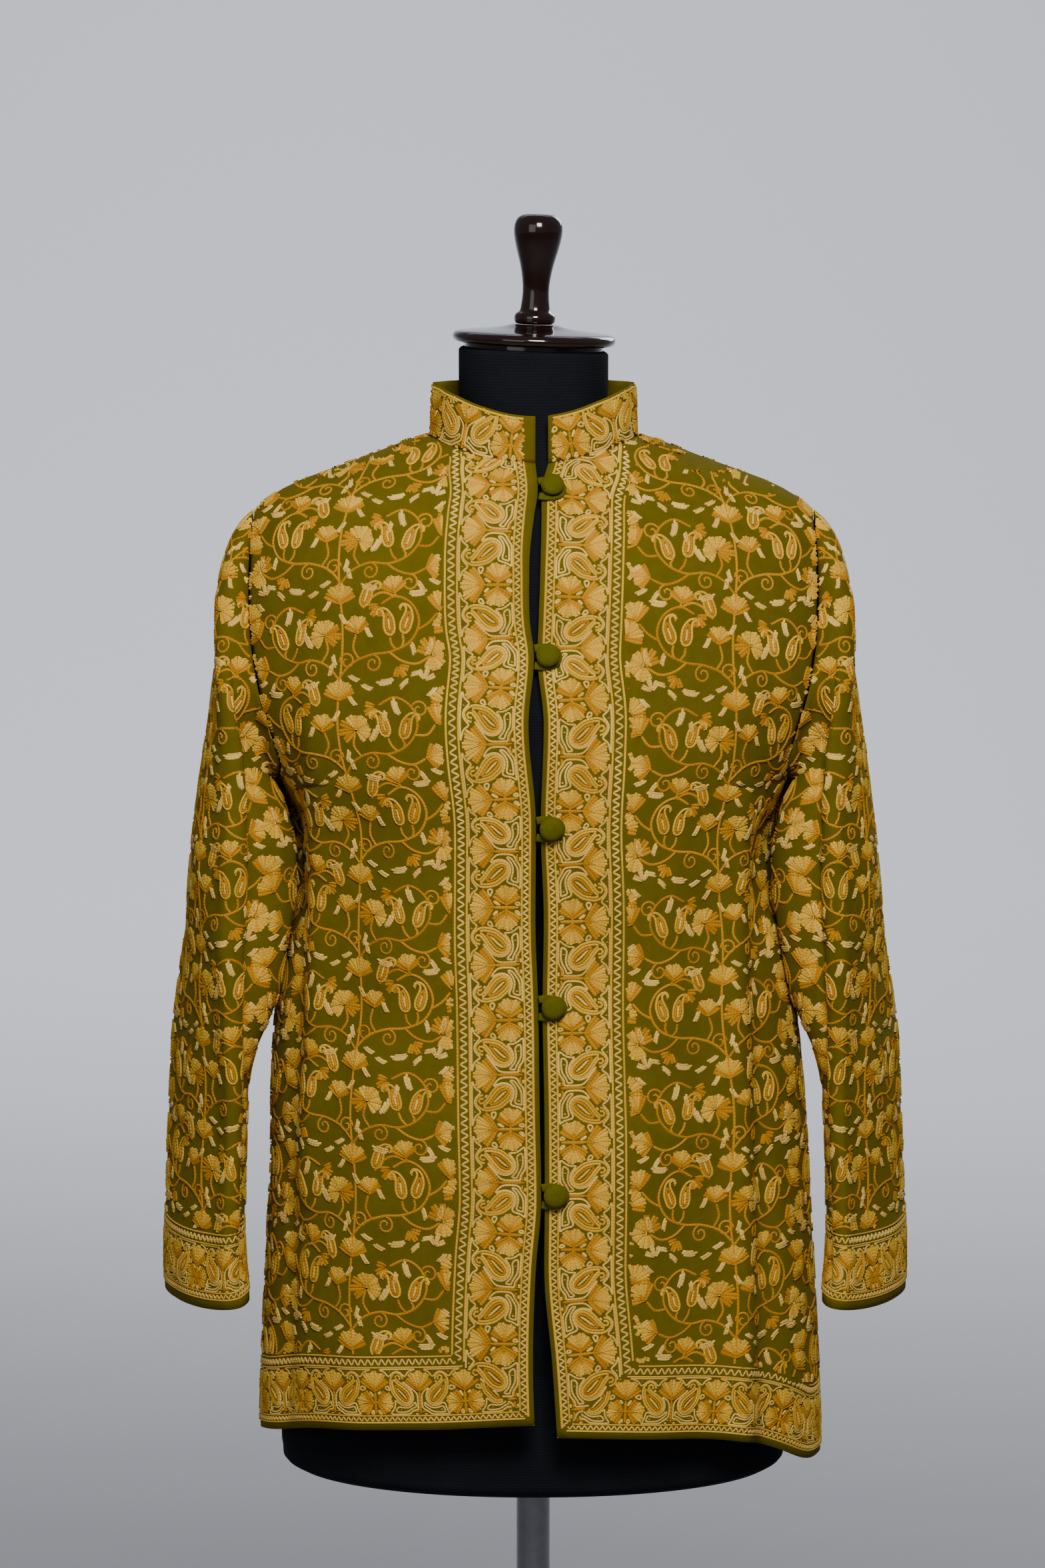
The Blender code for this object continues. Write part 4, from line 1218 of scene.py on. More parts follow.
# ------------------------------------------------------------------ materials
class Nodes:
    """The shader nodes of one material or of one node group."""

    def __init__(self, tree: bpy.types.NodeTree) -> None:
        """Takes the tree that the nodes stand in."""
        self.tree = tree

    def add(self, kind: str, **settings: object) -> bpy.types.Node:
        """A new shader node of a kind, with its settings."""
        made = self.tree.nodes.new("ShaderNode" + kind)
        for key, value in settings.items():
            setattr(made, key, value)
        return made

    def feed(self, socket: bpy.types.NodeSocket, value: object) -> None:
        """Joins a socket to another one, or sets it to a plain value."""
        if isinstance(value, bpy.types.NodeSocket):
            self.tree.links.new(value, socket)
        else:
            socket.default_value = value

    def math(self, operation: str, *values: object) -> bpy.types.NodeSocket:
        """What an operation makes of one or two values, each a socket or a number."""
        made = self.add("Math", operation=operation)
        for socket, value in zip(made.inputs, values):
            self.feed(socket, value)
        return made.outputs[0]

    def sum(self, *parts: tuple[bpy.types.NodeSocket, float]) -> bpy.types.NodeSocket:
        """The sum of values, each multiplied by its share."""
        shares = [self.math("MULTIPLY", value, share) for value, share in parts]
        total = shares[0]
        for part in shares[1:]:
            total = self.math("ADD", total, part)
        return total

    def noise(self, vector: bpy.types.NodeSocket, scale: object, detail: float = 3.0,
              rough: float = 0.55) -> bpy.types.NodeSocket:
        """Noise over a vector, from 0 to 1."""
        made = self.add("TexNoise")
        for key, value in zip(("Vector", "Scale", "Detail", "Roughness"),
                              (vector, scale, detail, rough)):
            self.feed(made.inputs[key], value)
        return made.outputs["Fac"]

    def split(self, vector: bpy.types.NodeSocket) -> Sequence[bpy.types.NodeSocket]:
        """The three parts of a vector."""
        made = self.add("SeparateXYZ")
        self.feed(made.inputs[0], vector)
        return made.outputs

    def group(self, tree: bpy.types.NodeTree, **values: object) -> Sequence[bpy.types.NodeSocket]:
        """The outputs of a node group placed here, with its inputs given by name."""
        made = self.add("Group", node_tree=tree)
        for key, value in values.items():
            self.feed(made.inputs[key], value)
        return made.outputs

    def bump(self, shader: bpy.types.Node, height: bpy.types.NodeSocket, distance: float,
             strength: float) -> None:
        """Joins a height to a shader's normal, with its depth in metres."""
        made = self.add("Bump")
        for key, value in (("Distance", distance), ("Strength", strength), ("Height", height)):
            self.feed(made.inputs[key], value)
        self.feed(shader.inputs["Normal"], made.outputs[0])


class Group(Nodes):
    """A node group that several materials share."""

    def __init__(self, name: str, inputs: dict[str, float], outputs: Sequence[str]) -> None:
        """Makes the group, with a vector to lay its pattern on.

        Args:
            name: Its name.
            inputs: Its value inputs and their defaults.
            outputs: Its value outputs.
        """
        super().__init__(bpy.data.node_groups.new(name, "ShaderNodeTree"))
        sockets = self.tree.interface
        sockets.new_socket("Vector", in_out="INPUT", socket_type="NodeSocketVector")
        for key, value in inputs.items():
            made = sockets.new_socket(key, in_out="INPUT", socket_type="NodeSocketFloat")
            made.default_value = value
        for key in outputs:
            sockets.new_socket(key, in_out="OUTPUT", socket_type="NodeSocketFloat")
        self.given = self.tree.nodes.new("NodeGroupInput").outputs
        self.result = self.tree.nodes.new("NodeGroupOutput").inputs


def twill_group() -> bpy.types.NodeTree:
    """Twill: fine slanting ribs over two threads' crossings, from the cut's UV in metres."""
    g = Group("twill_weave", {"Rib": 0.0016, "Slant": 1.15}, ("Height", "Nap"))
    vector, rib = g.given["Vector"], g.given["Rib"]
    x, y, _ = g.split(vector)
    wander = g.math("MULTIPLY", g.noise(vector, 160.0, 2.0), 0.0011)
    slanted = g.math("ADD", g.math("ADD", x, g.math("MULTIPLY", y, g.given["Slant"])), wander)
    ribs = g.math("SINE", g.math("DIVIDE", g.math("MULTIPLY", slanted, 6.2832), rib))
    cross = g.math("SINE", g.math("DIVIDE", g.math("MULTIPLY", y, 6.2832),
                                  g.math("MULTIPLY", rib, 0.52)))
    g.feed(g.result["Height"], g.math("ADD", g.sum((ribs, 0.38), (cross, 0.12)), 0.5))
    g.feed(g.result["Nap"], g.noise(vector, 1400.0, 3.0, 0.7))
    return g.tree


def chain_group() -> bpy.types.NodeTree:
    """Chain stitch: V-shaped links along a row, from a UV with metres along and 0 to 1 across."""
    g = Group("chain_stitch", {"Link": 0.0024}, ("Height", "Gap"))
    along, across, _ = g.split(g.given["Vector"])
    off = g.math("ABSOLUTE", g.math("SUBTRACT", across, 0.5))
    lag = g.math("MULTIPLY", off, g.math("MULTIPLY", g.given["Link"], 1.1))
    share = g.math("FRACT", g.math("DIVIDE", g.math("ADD", along, lag), g.given["Link"]))
    hump = g.math("SINE", g.math("MULTIPLY", share, math.pi))
    g.feed(g.result["Height"], g.math("POWER", hump, 0.6))
    g.feed(g.result["Gap"], g.math("LESS_THAN", hump, 0.32))
    return g.tree


def mottle_group() -> bpy.types.NodeTree:
    """Slow unevenness over fine, from 0 to 1."""
    g = Group("mottle", {"Slow": 9.0, "Fine": 90.0}, ("Value",))
    slow = g.noise(g.given["Vector"], g.given["Slow"], 2.0)
    fine = g.noise(g.given["Vector"], g.given["Fine"], 3.0)
    g.feed(g.result["Value"], g.sum((slow, 0.6), (fine, 0.4)))
    return g.tree


@dataclass(frozen=True)
class Finish:
    """What every finish has: its colours from dark to light, roughness and sheen."""

    name: str
    dark: tuple[float, float, float]
    light: tuple[float, float, float]
    roughness: float
    sheen: float = 0.0
    coat: float = 0.0
    metallic: float = 0.0
    specular: float = 0.5

    def start(self) -> tuple[bpy.types.Material, Nodes, bpy.types.Node, Sequence]:
        """A new material with its shader set.

        Returns:
            The material, its nodes, its Principled shader and the outputs of its coordinates.
        """
        made = bpy.data.materials.new(self.name)
        made.use_nodes = True
        made.diffuse_color = (*self.light, 1.0)
        nodes = Nodes(made.node_tree)
        shader = nodes.tree.nodes["Principled BSDF"]
        tint = tuple(min(1.0, 2.2 * c + 0.004) for c in self.light)
        for key, value in (("Roughness", self.roughness), ("Metallic", self.metallic),
                           ("Coat Weight", self.coat), ("Coat Roughness", 0.04),
                           ("Specular IOR Level", self.specular), ("Sheen Weight", self.sheen),
                           ("Sheen Roughness", 0.45), ("Sheen Tint", (*tint, 1.0))):
            shader.inputs[key].default_value = value
        return made, nodes, shader, nodes.add("TexCoord").outputs

    def coloured(self, nodes: Nodes, value: bpy.types.NodeSocket, low: float = 0.3,
                 high: float = 0.7) -> bpy.types.NodeSocket:
        """The colour between dark and light that a value chooses."""
        ramp = nodes.add("ValToRGB")
        stops = zip(ramp.color_ramp.elements, (low, high), (self.dark, self.light))
        for element, position, colour in stops:
            element.position = position
            element.color = (*colour, 1.0)
        nodes.feed(ramp.inputs[0], value)
        return ramp.outputs[0]


@dataclass(frozen=True)
class Wool(Finish):
    """Olive wool twill with a short nap."""

    rib: float = 0.0014
    from_cut: bool = True  # whether its weave follows the cut's UV, or else Object coordinates

    def build(self, groups: dict[str, bpy.types.NodeTree]) -> bpy.types.Material:
        """The material."""
        made, nodes, shader, place = self.start()
        vector = place["UV" if self.from_cut else "Object"]
        height, nap = nodes.group(groups["twill"], Vector=vector, Rib=self.rib)
        spots = nodes.group(groups["mottle"], Vector=place["Object"], Slow=7.0, Fine=120.0)[0]
        value = nodes.sum((height, 0.26), (nap, 0.22), (spots, 0.5))
        nodes.feed(shader.inputs["Base Color"], self.coloured(nodes, value, 0.24, 0.72))
        nodes.bump(shader, nodes.sum((height, 1.0), (nap, 0.7)), 0.0003, 0.6)
        return made


@dataclass(frozen=True)
class Yarn(Finish):
    """Wool thread worked in chain stitch."""

    link: float = 0.0024
    shadow: tuple[float, float, float, float] = (0.45, 0.38, 0.22, 1.0)  # where links meet

    def build(self, groups: dict[str, bpy.types.NodeTree]) -> bpy.types.Material:
        """The material."""
        made, nodes, shader, place = self.start()
        height, gap = nodes.group(groups["chain"], Vector=place["UV"], Link=self.link)
        spots = nodes.group(groups["mottle"], Vector=place["Object"], Slow=14.0, Fine=500.0)[0]
        shade = nodes.add("Attribute", attribute_name="shade").outputs["Fac"]
        value = nodes.sum((shade, 0.34), (spots, 0.66))
        darkened = nodes.add("Mix", data_type="RGBA", blend_type="MULTIPLY")
        nodes.feed(darkened.inputs[0], nodes.math("MULTIPLY", gap, 0.22))
        nodes.feed(darkened.inputs[6], self.coloured(nodes, value, 0.22, 0.72))
        nodes.feed(darkened.inputs[7], self.shadow)
        nodes.feed(shader.inputs["Base Color"], darkened.outputs[2])
        nodes.bump(shader, nodes.sum((height, 1.0), (spots, 0.8)), 0.00034, 0.7)
        return made


@dataclass(frozen=True)
class Jersey(Finish):
    """Fine jersey stretched over the form, its courses running round."""

    course: float = 0.0021

    def build(self, groups: dict[str, bpy.types.NodeTree]) -> bpy.types.Material:
        """The material."""
        made, nodes, shader, place = self.start()
        up = nodes.split(place["Object"])[2]
        rib = nodes.math("SINE", nodes.math("MULTIPLY", up, 2 * math.pi / self.course))
        spots = nodes.group(groups["mottle"], Vector=place["Object"], Slow=12.0, Fine=700.0)[0]
        value = nodes.sum((rib, 0.09), (spots, 1.0))
        nodes.feed(shader.inputs["Base Color"], self.coloured(nodes, value, 0.3, 0.75))
        nodes.bump(shader, nodes.sum((rib, 0.3), (spots, 1.0)), 0.0003, 0.5)
        return made


@dataclass(frozen=True)
class Hard(Finish):
    """Lacquer, enamel or chrome: smooth, with faint unevenness and dust in its gloss."""

    slow: float = 6.0
    fine: float = 60.0
    spread: float = 0.05  # how much its roughness varies
    relief: float = 0.00003
    stretch: tuple[float, float, float] = (1.0, 1.0, 1.0)

    def build(self, groups: dict[str, bpy.types.NodeTree]) -> bpy.types.Material:
        """The material."""
        made, nodes, shader, place = self.start()
        mapping = nodes.add("Mapping")
        mapping.inputs["Scale"].default_value = self.stretch
        nodes.feed(mapping.inputs[0], place["Object"])
        spots = nodes.group(groups["mottle"], Vector=mapping.outputs[0], Slow=self.slow,
                            Fine=self.fine)[0]
        nodes.feed(shader.inputs["Base Color"], self.coloured(nodes, spots))
        rough = nodes.math("ADD", nodes.math("MULTIPLY", spots, self.spread),
                           self.roughness - self.spread / 2)
        nodes.feed(shader.inputs["Roughness"], rough)
        nodes.bump(shader, spots, self.relief, 0.5)
        return made


OLIVE = Wool("olive_twill", (0.064, 0.0515, 0.0010), (0.166, 0.125, 0.0032), 0.92, 0.2,
             specular=0.1)
OLIVE_TRIM = Wool("olive_trim", (0.052, 0.052, 0.001), (0.135, 0.122, 0.003), 0.94, 0.2,
                  specular=0.1, rib=0.0011, from_cut=False)
GOLD_YARN = Yarn("gold_yarn", (0.54, 0.272, 0.018), (0.80, 0.46, 0.045), 0.8, 0.2, specular=0.15)
ORANGE_YARN = Yarn("orange_yarn", (0.37, 0.152, 0.002), (0.58, 0.255, 0.006), 0.8, 0.2,
                   specular=0.15)
CREAM_YARN = Yarn("cream_yarn", (0.58, 0.335, 0.058), (0.86, 0.56, 0.135), 0.8, 0.2,
                  specular=0.15)
NAVY = Jersey("navy_jersey", (0.0042, 0.0046, 0.006), (0.0095, 0.0103, 0.013), 0.95, 0.04,
              specular=0.1)
OXBLOOD = Hard("oxblood_lacquer", (0.006, 0.0018, 0.0016), (0.014, 0.004, 0.003), 0.13,
               coat=0.7, specular=0.3, spread=0.06, stretch=(1.0, 1.0, 0.25))
CHROME = Hard("chrome_tube", (0.24, 0.24, 0.25), (0.33, 0.33, 0.34), 0.12, metallic=1.0,
              slow=14.0, fine=160.0, spread=0.08, relief=0.00001)
ENAMEL = Hard("black_enamel", (0.010, 0.010, 0.011), (0.018, 0.018, 0.019), 0.36, coat=0.3,
              slow=5.0, fine=220.0, spread=0.12)


# ------------------------------------------------------------------ the jacket
def even_steps(start: float, stop: float, step: float) -> np.ndarray:
    """Even steps from start to stop, about a step long."""
    return np.linspace(start, stop, int(round((stop - start) / step)) + 1)


def risen(line: np.ndarray, inset: float) -> Callable[[np.ndarray], np.ndarray]:
    """How far above a hem or cuff, less its plain rim, spots of the cut are.

    Args:
        line: The hem's or the cuff's points on the cut, mm.
        inset: The depth of the plain rim, mm.

    Returns:
        A function from spots to their heights above the rim, mm.
    """
    across, down = line.T
    return lambda spots: np.interp(spots[:, 0], across, down) - inset - spots[:, 1]


def hung_panel(points: np.ndarray, drop: np.ndarray, across: np.ndarray, creases: Sequence[Crease],
               seed: int, hollows: float, seam: np.ndarray) -> np.ndarray:
    """A body panel's points, moved by its folds and its small hollows.

    Args:
        points: The smooth panel, in world mm.
        drop: Each point's drop, mm.
        across: How far across each point is, as its folds take it.
        creases: Its folds.
        seed: Chooses its hollows.
        hollows: About how deep they are, mm.
        seam: How freely each point may move, from 0 at a seam to 1.

    Returns:
        The hung panel's points.
    """
    push = sum(crease.push(drop, across) for crease in creases)
    loose = np.clip((drop - 150.0) / 120.0, 0.0, 1.0) * hollows
    push = push + ripple(drop, across, seed, 1.0) * loose
    free = np.clip((drop - 500.0) / 150.0, 0.0, 1.0)
    return points + facing_out(points) * (push * np.maximum(seam, 0.35 * free))[..., None]


def finish_sheet(sheet: Sheet, finish: bpy.types.Material,
                 stitched: Sequence[Needlework], keeps: Sequence[Callable],
                 threads: Sequence[bpy.types.Material]) -> None:
    """Args:
        sheet: The sheet, named after the node that it stands for.
        finish: The cloth's material.
        stitched: Its embroidery.
        keeps: For each piece of embroidery, which spots of the cut may be stitched.
        threads: The threads' materials.
    """
    cloth = shell(sheet, CLOTH, finish)
    cloth.name = sheet.name + "_cloth"
    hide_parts(sheet.name)
    made = [work.build(keep, threads) for work, keep in zip(stitched, keeps)]
    width, length = sheet.size
    min(sheet.area, width * length)
    count = sum(len(o.data.polygons) for o in made)
    LOG.info("%s: flat %.0f x %.0f mm, %.4f m2, strain %.3f, %d stitch faces", sheet.name,
             width / MM, length / MM, sheet.area, sheet.strain(), count)


@dataclass
class Palette:
    """The materials that the pieces share."""

    wool: bpy.types.Material
    trim: bpy.types.Material
    threads: tuple[bpy.types.Material, ...]
    jersey: bpy.types.Material
    lacquer: bpy.types.Material
    chrome: bpy.types.Material
    enamel: bpy.types.Material

    @classmethod
    def mixed(cls) -> Palette:
        """Builds the materials and the node groups that they share."""
        groups = {"twill": twill_group(), "chain": chain_group(), "mottle": mottle_group()}
        threads = tuple(yarn.build(groups) for yarn in (GOLD_YARN, ORANGE_YARN, CREAM_YARN))
        return cls(OLIVE.build(groups), OLIVE_TRIM.build(groups), threads, NAVY.build(groups),
                   OXBLOOD.build(groups), CHROME.build(groups), ENAMEL.build(groups))


@dataclass
class Front:
    """One front of the jacket, with its border down the edge and along the hem."""

    side: Side
    step: float = 6.0
    columns: int = 44
    border: Border = field(default_factory=Border)
    hem_scale: float = 0.88
    phase: float = 70.0  # how far the field's repeat begins above the hem's border, mm

    @property
    def creases(self) -> tuple[Crease, ...]:
        """The front's main folds, at distances out from the centre line."""
        if self.side is Side.LEFT:
            return (Crease(((290, 150), (420, 147), (560, 150), (700, 153), (870, 151)), 7.0, 10.0),
                    Crease(((320, 168), (450, 165), (600, 169), (870, 173)), -7.5, 11.0),
                    Crease(((360, 122), (520, 116), (700, 120), (870, 124)), -3.2, 24.0),
                    Crease(((520, 74), (640, 84), (870, 92)), 2.4, 26.0),
                    Crease(((150, 150), (215, 172), (290, 176)), -3.0, 10.0, 30.0),
                    Crease(((240, 120), (310, 146), (350, 150)), 2.2, 12.0, 25.0))
        return (Crease(((230, 160), (330, 156), (480, 158), (640, 166)), 5.5, 11.0),
                Crease(((300, 174), (430, 172), (600, 180), (870, 188)), -7.0, 11.0),
                Crease(((470, 120), (640, 128), (870, 132)), 3.2, 22.0),
                Crease(((300, 118), (420, 126), (560, 142)), -2.4, 20.0),
                Crease(((160, 156), (215, 176), (290, 178)), -3.0, 10.0, 30.0),
                Crease(((430, 96), (600, 92), (830, 96)), -1.5, 20.0))

    def hem(self, share: np.ndarray) -> np.ndarray:
        """The hem's drop at a share of the way from the front edge to the side seam."""
        edge, end = HEM[self.side]
        dip = 9.0 if self.side is Side.LEFT else 3.0
        wave = 1.1 * np.sin(share * 9.0 + self.side.value)
        sag = dip * np.exp(-(((share - 0.76) / 0.15) ** 2))
        return edge + (end - edge) * share**1.6 + wave + sag

    def sheet(self) -> Sheet:
        """The front's cloth."""
        share = np.linspace(0.0, 1.0, self.columns + 1)[None, :]
        upper = np.concatenate([even_steps(62.7, 78.4, 2.6), even_steps(82.0, UNDERARM_DROP, self.step)])
        lower = even_steps(0.0, 1.0, self.step / 470.0)[1:, None]
        below = UNDERARM_DROP + lower * (self.hem(share) - UNDERARM_DROP)
        drop = np.concatenate([np.broadcast_to(upper[:, None], (len(upper), share.size)), below])
        reach = np.sqrt(np.clip(1.0 - (drop - NECK_POINT_DROP) / (NECK_FRONT_DROP - NECK_POINT_DROP),
                                0.0, 1.0)) * NECKLINE_WIDTH
        neck = np.arcsin(np.clip(reach / BODY.at("half", drop), 0.0, 1.0))
        start = np.where(drop < NECK_FRONT_DROP, np.maximum(neck, edge_angle(self.side, drop)),
                         edge_angle(self.side, drop))
        angle = self.side.value * (start + (outer_angle(drop) - start) * share)
        points = BODY.point(drop, angle)
        points[..., 1] = np.minimum(points[..., 1], -0.2)
        seam = np.clip((1.0 - share) / 0.06, 0.0, 1.0)
        points = hung_panel(points, drop, np.abs(points[..., 0]), self.creases,
                            11 + self.side.value, 0.8, seam)
        begin = np.abs(points[:, 0, 0] - FRONT_EDGES.at(self.side.word, drop[:, 0]))
        flat = laid_flat(points, begin, 0, len(upper) - 1)
        flat = self.squared(flat)
        return Sheet(f"front_{self.side.word}", points, flat)

    def squared(self, flat: np.ndarray) -> np.ndarray:
        """Turns and moves the flat cut so that its edge is upright and the hem's corner is at 0."""
        edge = flat[12:, 0]
        middle = edge.mean(axis=0)
        _, _, axes = np.linalg.svd(edge - middle)
        way = axes[0] * np.sign(axes[0][1])
        turn = np.array([[way[1], -way[0]], [way[0], way[1]]])
        flat = (flat - middle) @ turn.T
        if flat[-1, -1, 0] < flat[-1, 0, 0]:
            flat[..., 0] *= -1.0
        return flat - flat[-1, 0]

    def build(self, palette: Palette) -> None:
        """Makes the front's cloth and embroidery."""
        sheet = self.sheet()
        top = int(np.argmin(np.abs(NECK_TOP / MM - sheet.points[:, 0, 2] - NECK_FRONT_DROP)))
        edge = sheet.flat[top:, 0][::-1]
        hem = sheet.flat[-1]
        below = NECK_TOP / MM - sheet.points[top:, 0, 2][::-1]
        right = self.side is Side.RIGHT
        wide = np.interp(below, (78, 100, 150, 260), (7.5, 7.0, 4.6, 3.4) if right else (5, 4, 3.4, 3.2))
        front = self.border.laid_along(edge, 1.0, 20.0, wide)
        hem_inset = np.full(len(hem), HEM_INSET)
        hem_runs = self.border.laid_along(hem, -1.0, 14.0, hem_inset, self.hem_scale)
        above = risen(hem, HEM_INSET)
        depth, low = self.border.depth, self.border.depth * self.hem_scale

        def beside(p: np.ndarray) -> np.ndarray:
            """How far in from the front border's outer line spots are."""
            return p[:, 0] - np.interp(p[:, 1], edge[::-1, 1], (edge[:, 0] + wide)[::-1])

        def in_front(p: np.ndarray) -> np.ndarray:
            """Spots that belong to the front border, as far as its mitre."""
            aside, up = beside(p), above(p)
            on_side = up / low >= np.minimum(aside, depth) / depth
            return (aside > -STITCH_SLACK) & (aside < depth) & on_side

        def in_hem(p: np.ndarray) -> np.ndarray:
            """Spots that belong to the hem's border."""
            aside, up = beside(p), above(p)
            return (up > -STITCH_SLACK) & (up < low) & (aside / depth > np.minimum(up, low) / low)

        def in_field(p: np.ndarray) -> np.ndarray:
            """Spots inside both borders."""
            return (beside(p) > depth + FIELD_GAP) & (above(p) > low + FIELD_GAP)

        border = Needlework(f"front_{self.side.word}_border", sheet, front)
        hemming = Needlework(f"front_{self.side.word}_hem_border", sheet, hem_runs)
        corner = sheet.flat[-1, 0] + np.array([depth + 3.0, -low - 5.0 - self.phase])
        fielded = Needlework(f"front_{self.side.word}_field", sheet, Repeat().on_panel(sheet, corner))
        finish_sheet(sheet, palette.wool, (border, hemming, fielded),
                     (in_front, in_hem, in_field), palette.threads)


@dataclass
class Back:
    """The back of the jacket, with its border along the hem."""

    step: float = 6.5
    columns: int = 84
    border: Border = field(default_factory=Border)
    hem_scale: float = 0.88

    creases = (Crease(((380, 0), (520, 4), (800, 0)), 4.5, 22.0),
               Crease(((400, -44), (560, -50), (800, -56)), -4.0, 18.0),
               Crease(((380, 40), (520, 46), (800, 58)), -4.5, 18.0),
               Crease(((360, 88), (500, 96), (800, 104)), 4.5, 20.0),
               Crease(((400, -92), (560, -98), (800, -110)), 5.0, 20.0),
               Crease(((420, 150), (600, 160), (800, 168)), -3.0, 16.0),
               Crease(((430, -148), (600, -156), (800, -166)), -3.0, 16.0),
               Crease(((150, 128), (240, 152), (330, 150)), 3.0, 14.0, 30.0),
               Crease(((150, -132), (250, -154), (330, -152)), 2.6, 14.0, 30.0),
               Crease(((300, 60), (360, 0), (420, -70)), 1.6, 26.0, 30.0))

    def sheet(self) -> Sheet:
        """The back's cloth."""
        share = np.linspace(-1.0, 1.0, self.columns + 1)[None, :]
        side_hem = np.where(share > 0, HEM[Side.LEFT][1], HEM[Side.RIGHT][1])
        hem = BACK_HEM + (side_hem - BACK_HEM) * np.abs(share) ** 3 + 1.2 * np.sin(share * 11)
        upper = np.concatenate([[63.2], even_steps(67.2, 78.0, 3.0),
                                even_steps(82.0, UNDERARM_DROP, self.step)])
        lower = even_steps(0.0, 1.0, self.step / 488.0)[1:, None]
        drop = np.concatenate([np.broadcast_to(upper[:, None], (len(upper), share.size)),
                               UNDERARM_DROP + lower * (hem - UNDERARM_DROP)])
        across = BODY.at("half", drop[0]) * np.sin(share[0] * math.pi / 2)
        drop[0] = np.maximum(drop[0], neckline_drop(across, NECK_BACK_DROP))
        points = BODY.point(drop, math.pi - outer_angle(drop) * share)
        points[..., 1] = np.maximum(points[..., 1], 0.2)
        seam = np.clip((1.0 - np.abs(share)) / 0.04, 0.0, 1.0)
        points = hung_panel(points, drop, points[..., 0], self.creases, 23, 0.9, seam)
        flat = laid_flat(points, np.zeros(len(points)), self.columns // 2, len(upper) - 1)
        return Sheet("back", points, flat - flat[-1, self.columns // 2])

    def build(self, palette: Palette) -> None:
        """Makes the back's cloth and embroidery."""
        sheet = self.sheet()
        hem = sheet.flat[-1]
        above = risen(hem, HEM_INSET)
        low = self.border.depth * self.hem_scale
        period = self.border.period * self.hem_scale
        start = float(lengths_along(hem)[self.columns // 2] % period)
        hem_inset = np.full(len(hem), HEM_INSET)
        hem_runs = self.border.laid_along(hem, -1.0, start, hem_inset, self.hem_scale)

        def in_hem(p: np.ndarray) -> np.ndarray:
            """Spots of the hem's border."""
            return (above(p) > -STITCH_SLACK) & (above(p) < low)

        def in_field(p: np.ndarray, sign: int) -> np.ndarray:
            """Spots above the border on one side of the centre."""
            return (above(p) > low + FIELD_GAP) & (p[:, 0] * sign >= 0)

        corner = np.array([0.0, -low - 5.0])
        runs = Repeat().on_panel(sheet, corner)
        works = (Needlework("back_hem_border", sheet, hem_runs),
                 Needlework("back_field_right", sheet, runs), Needlework("back_field_left", sheet, runs))
        keeps = (in_hem, lambda p: in_field(p, -1), lambda p: in_field(p, 1))
        finish_sheet(sheet, palette.wool, works, keeps, palette.threads)


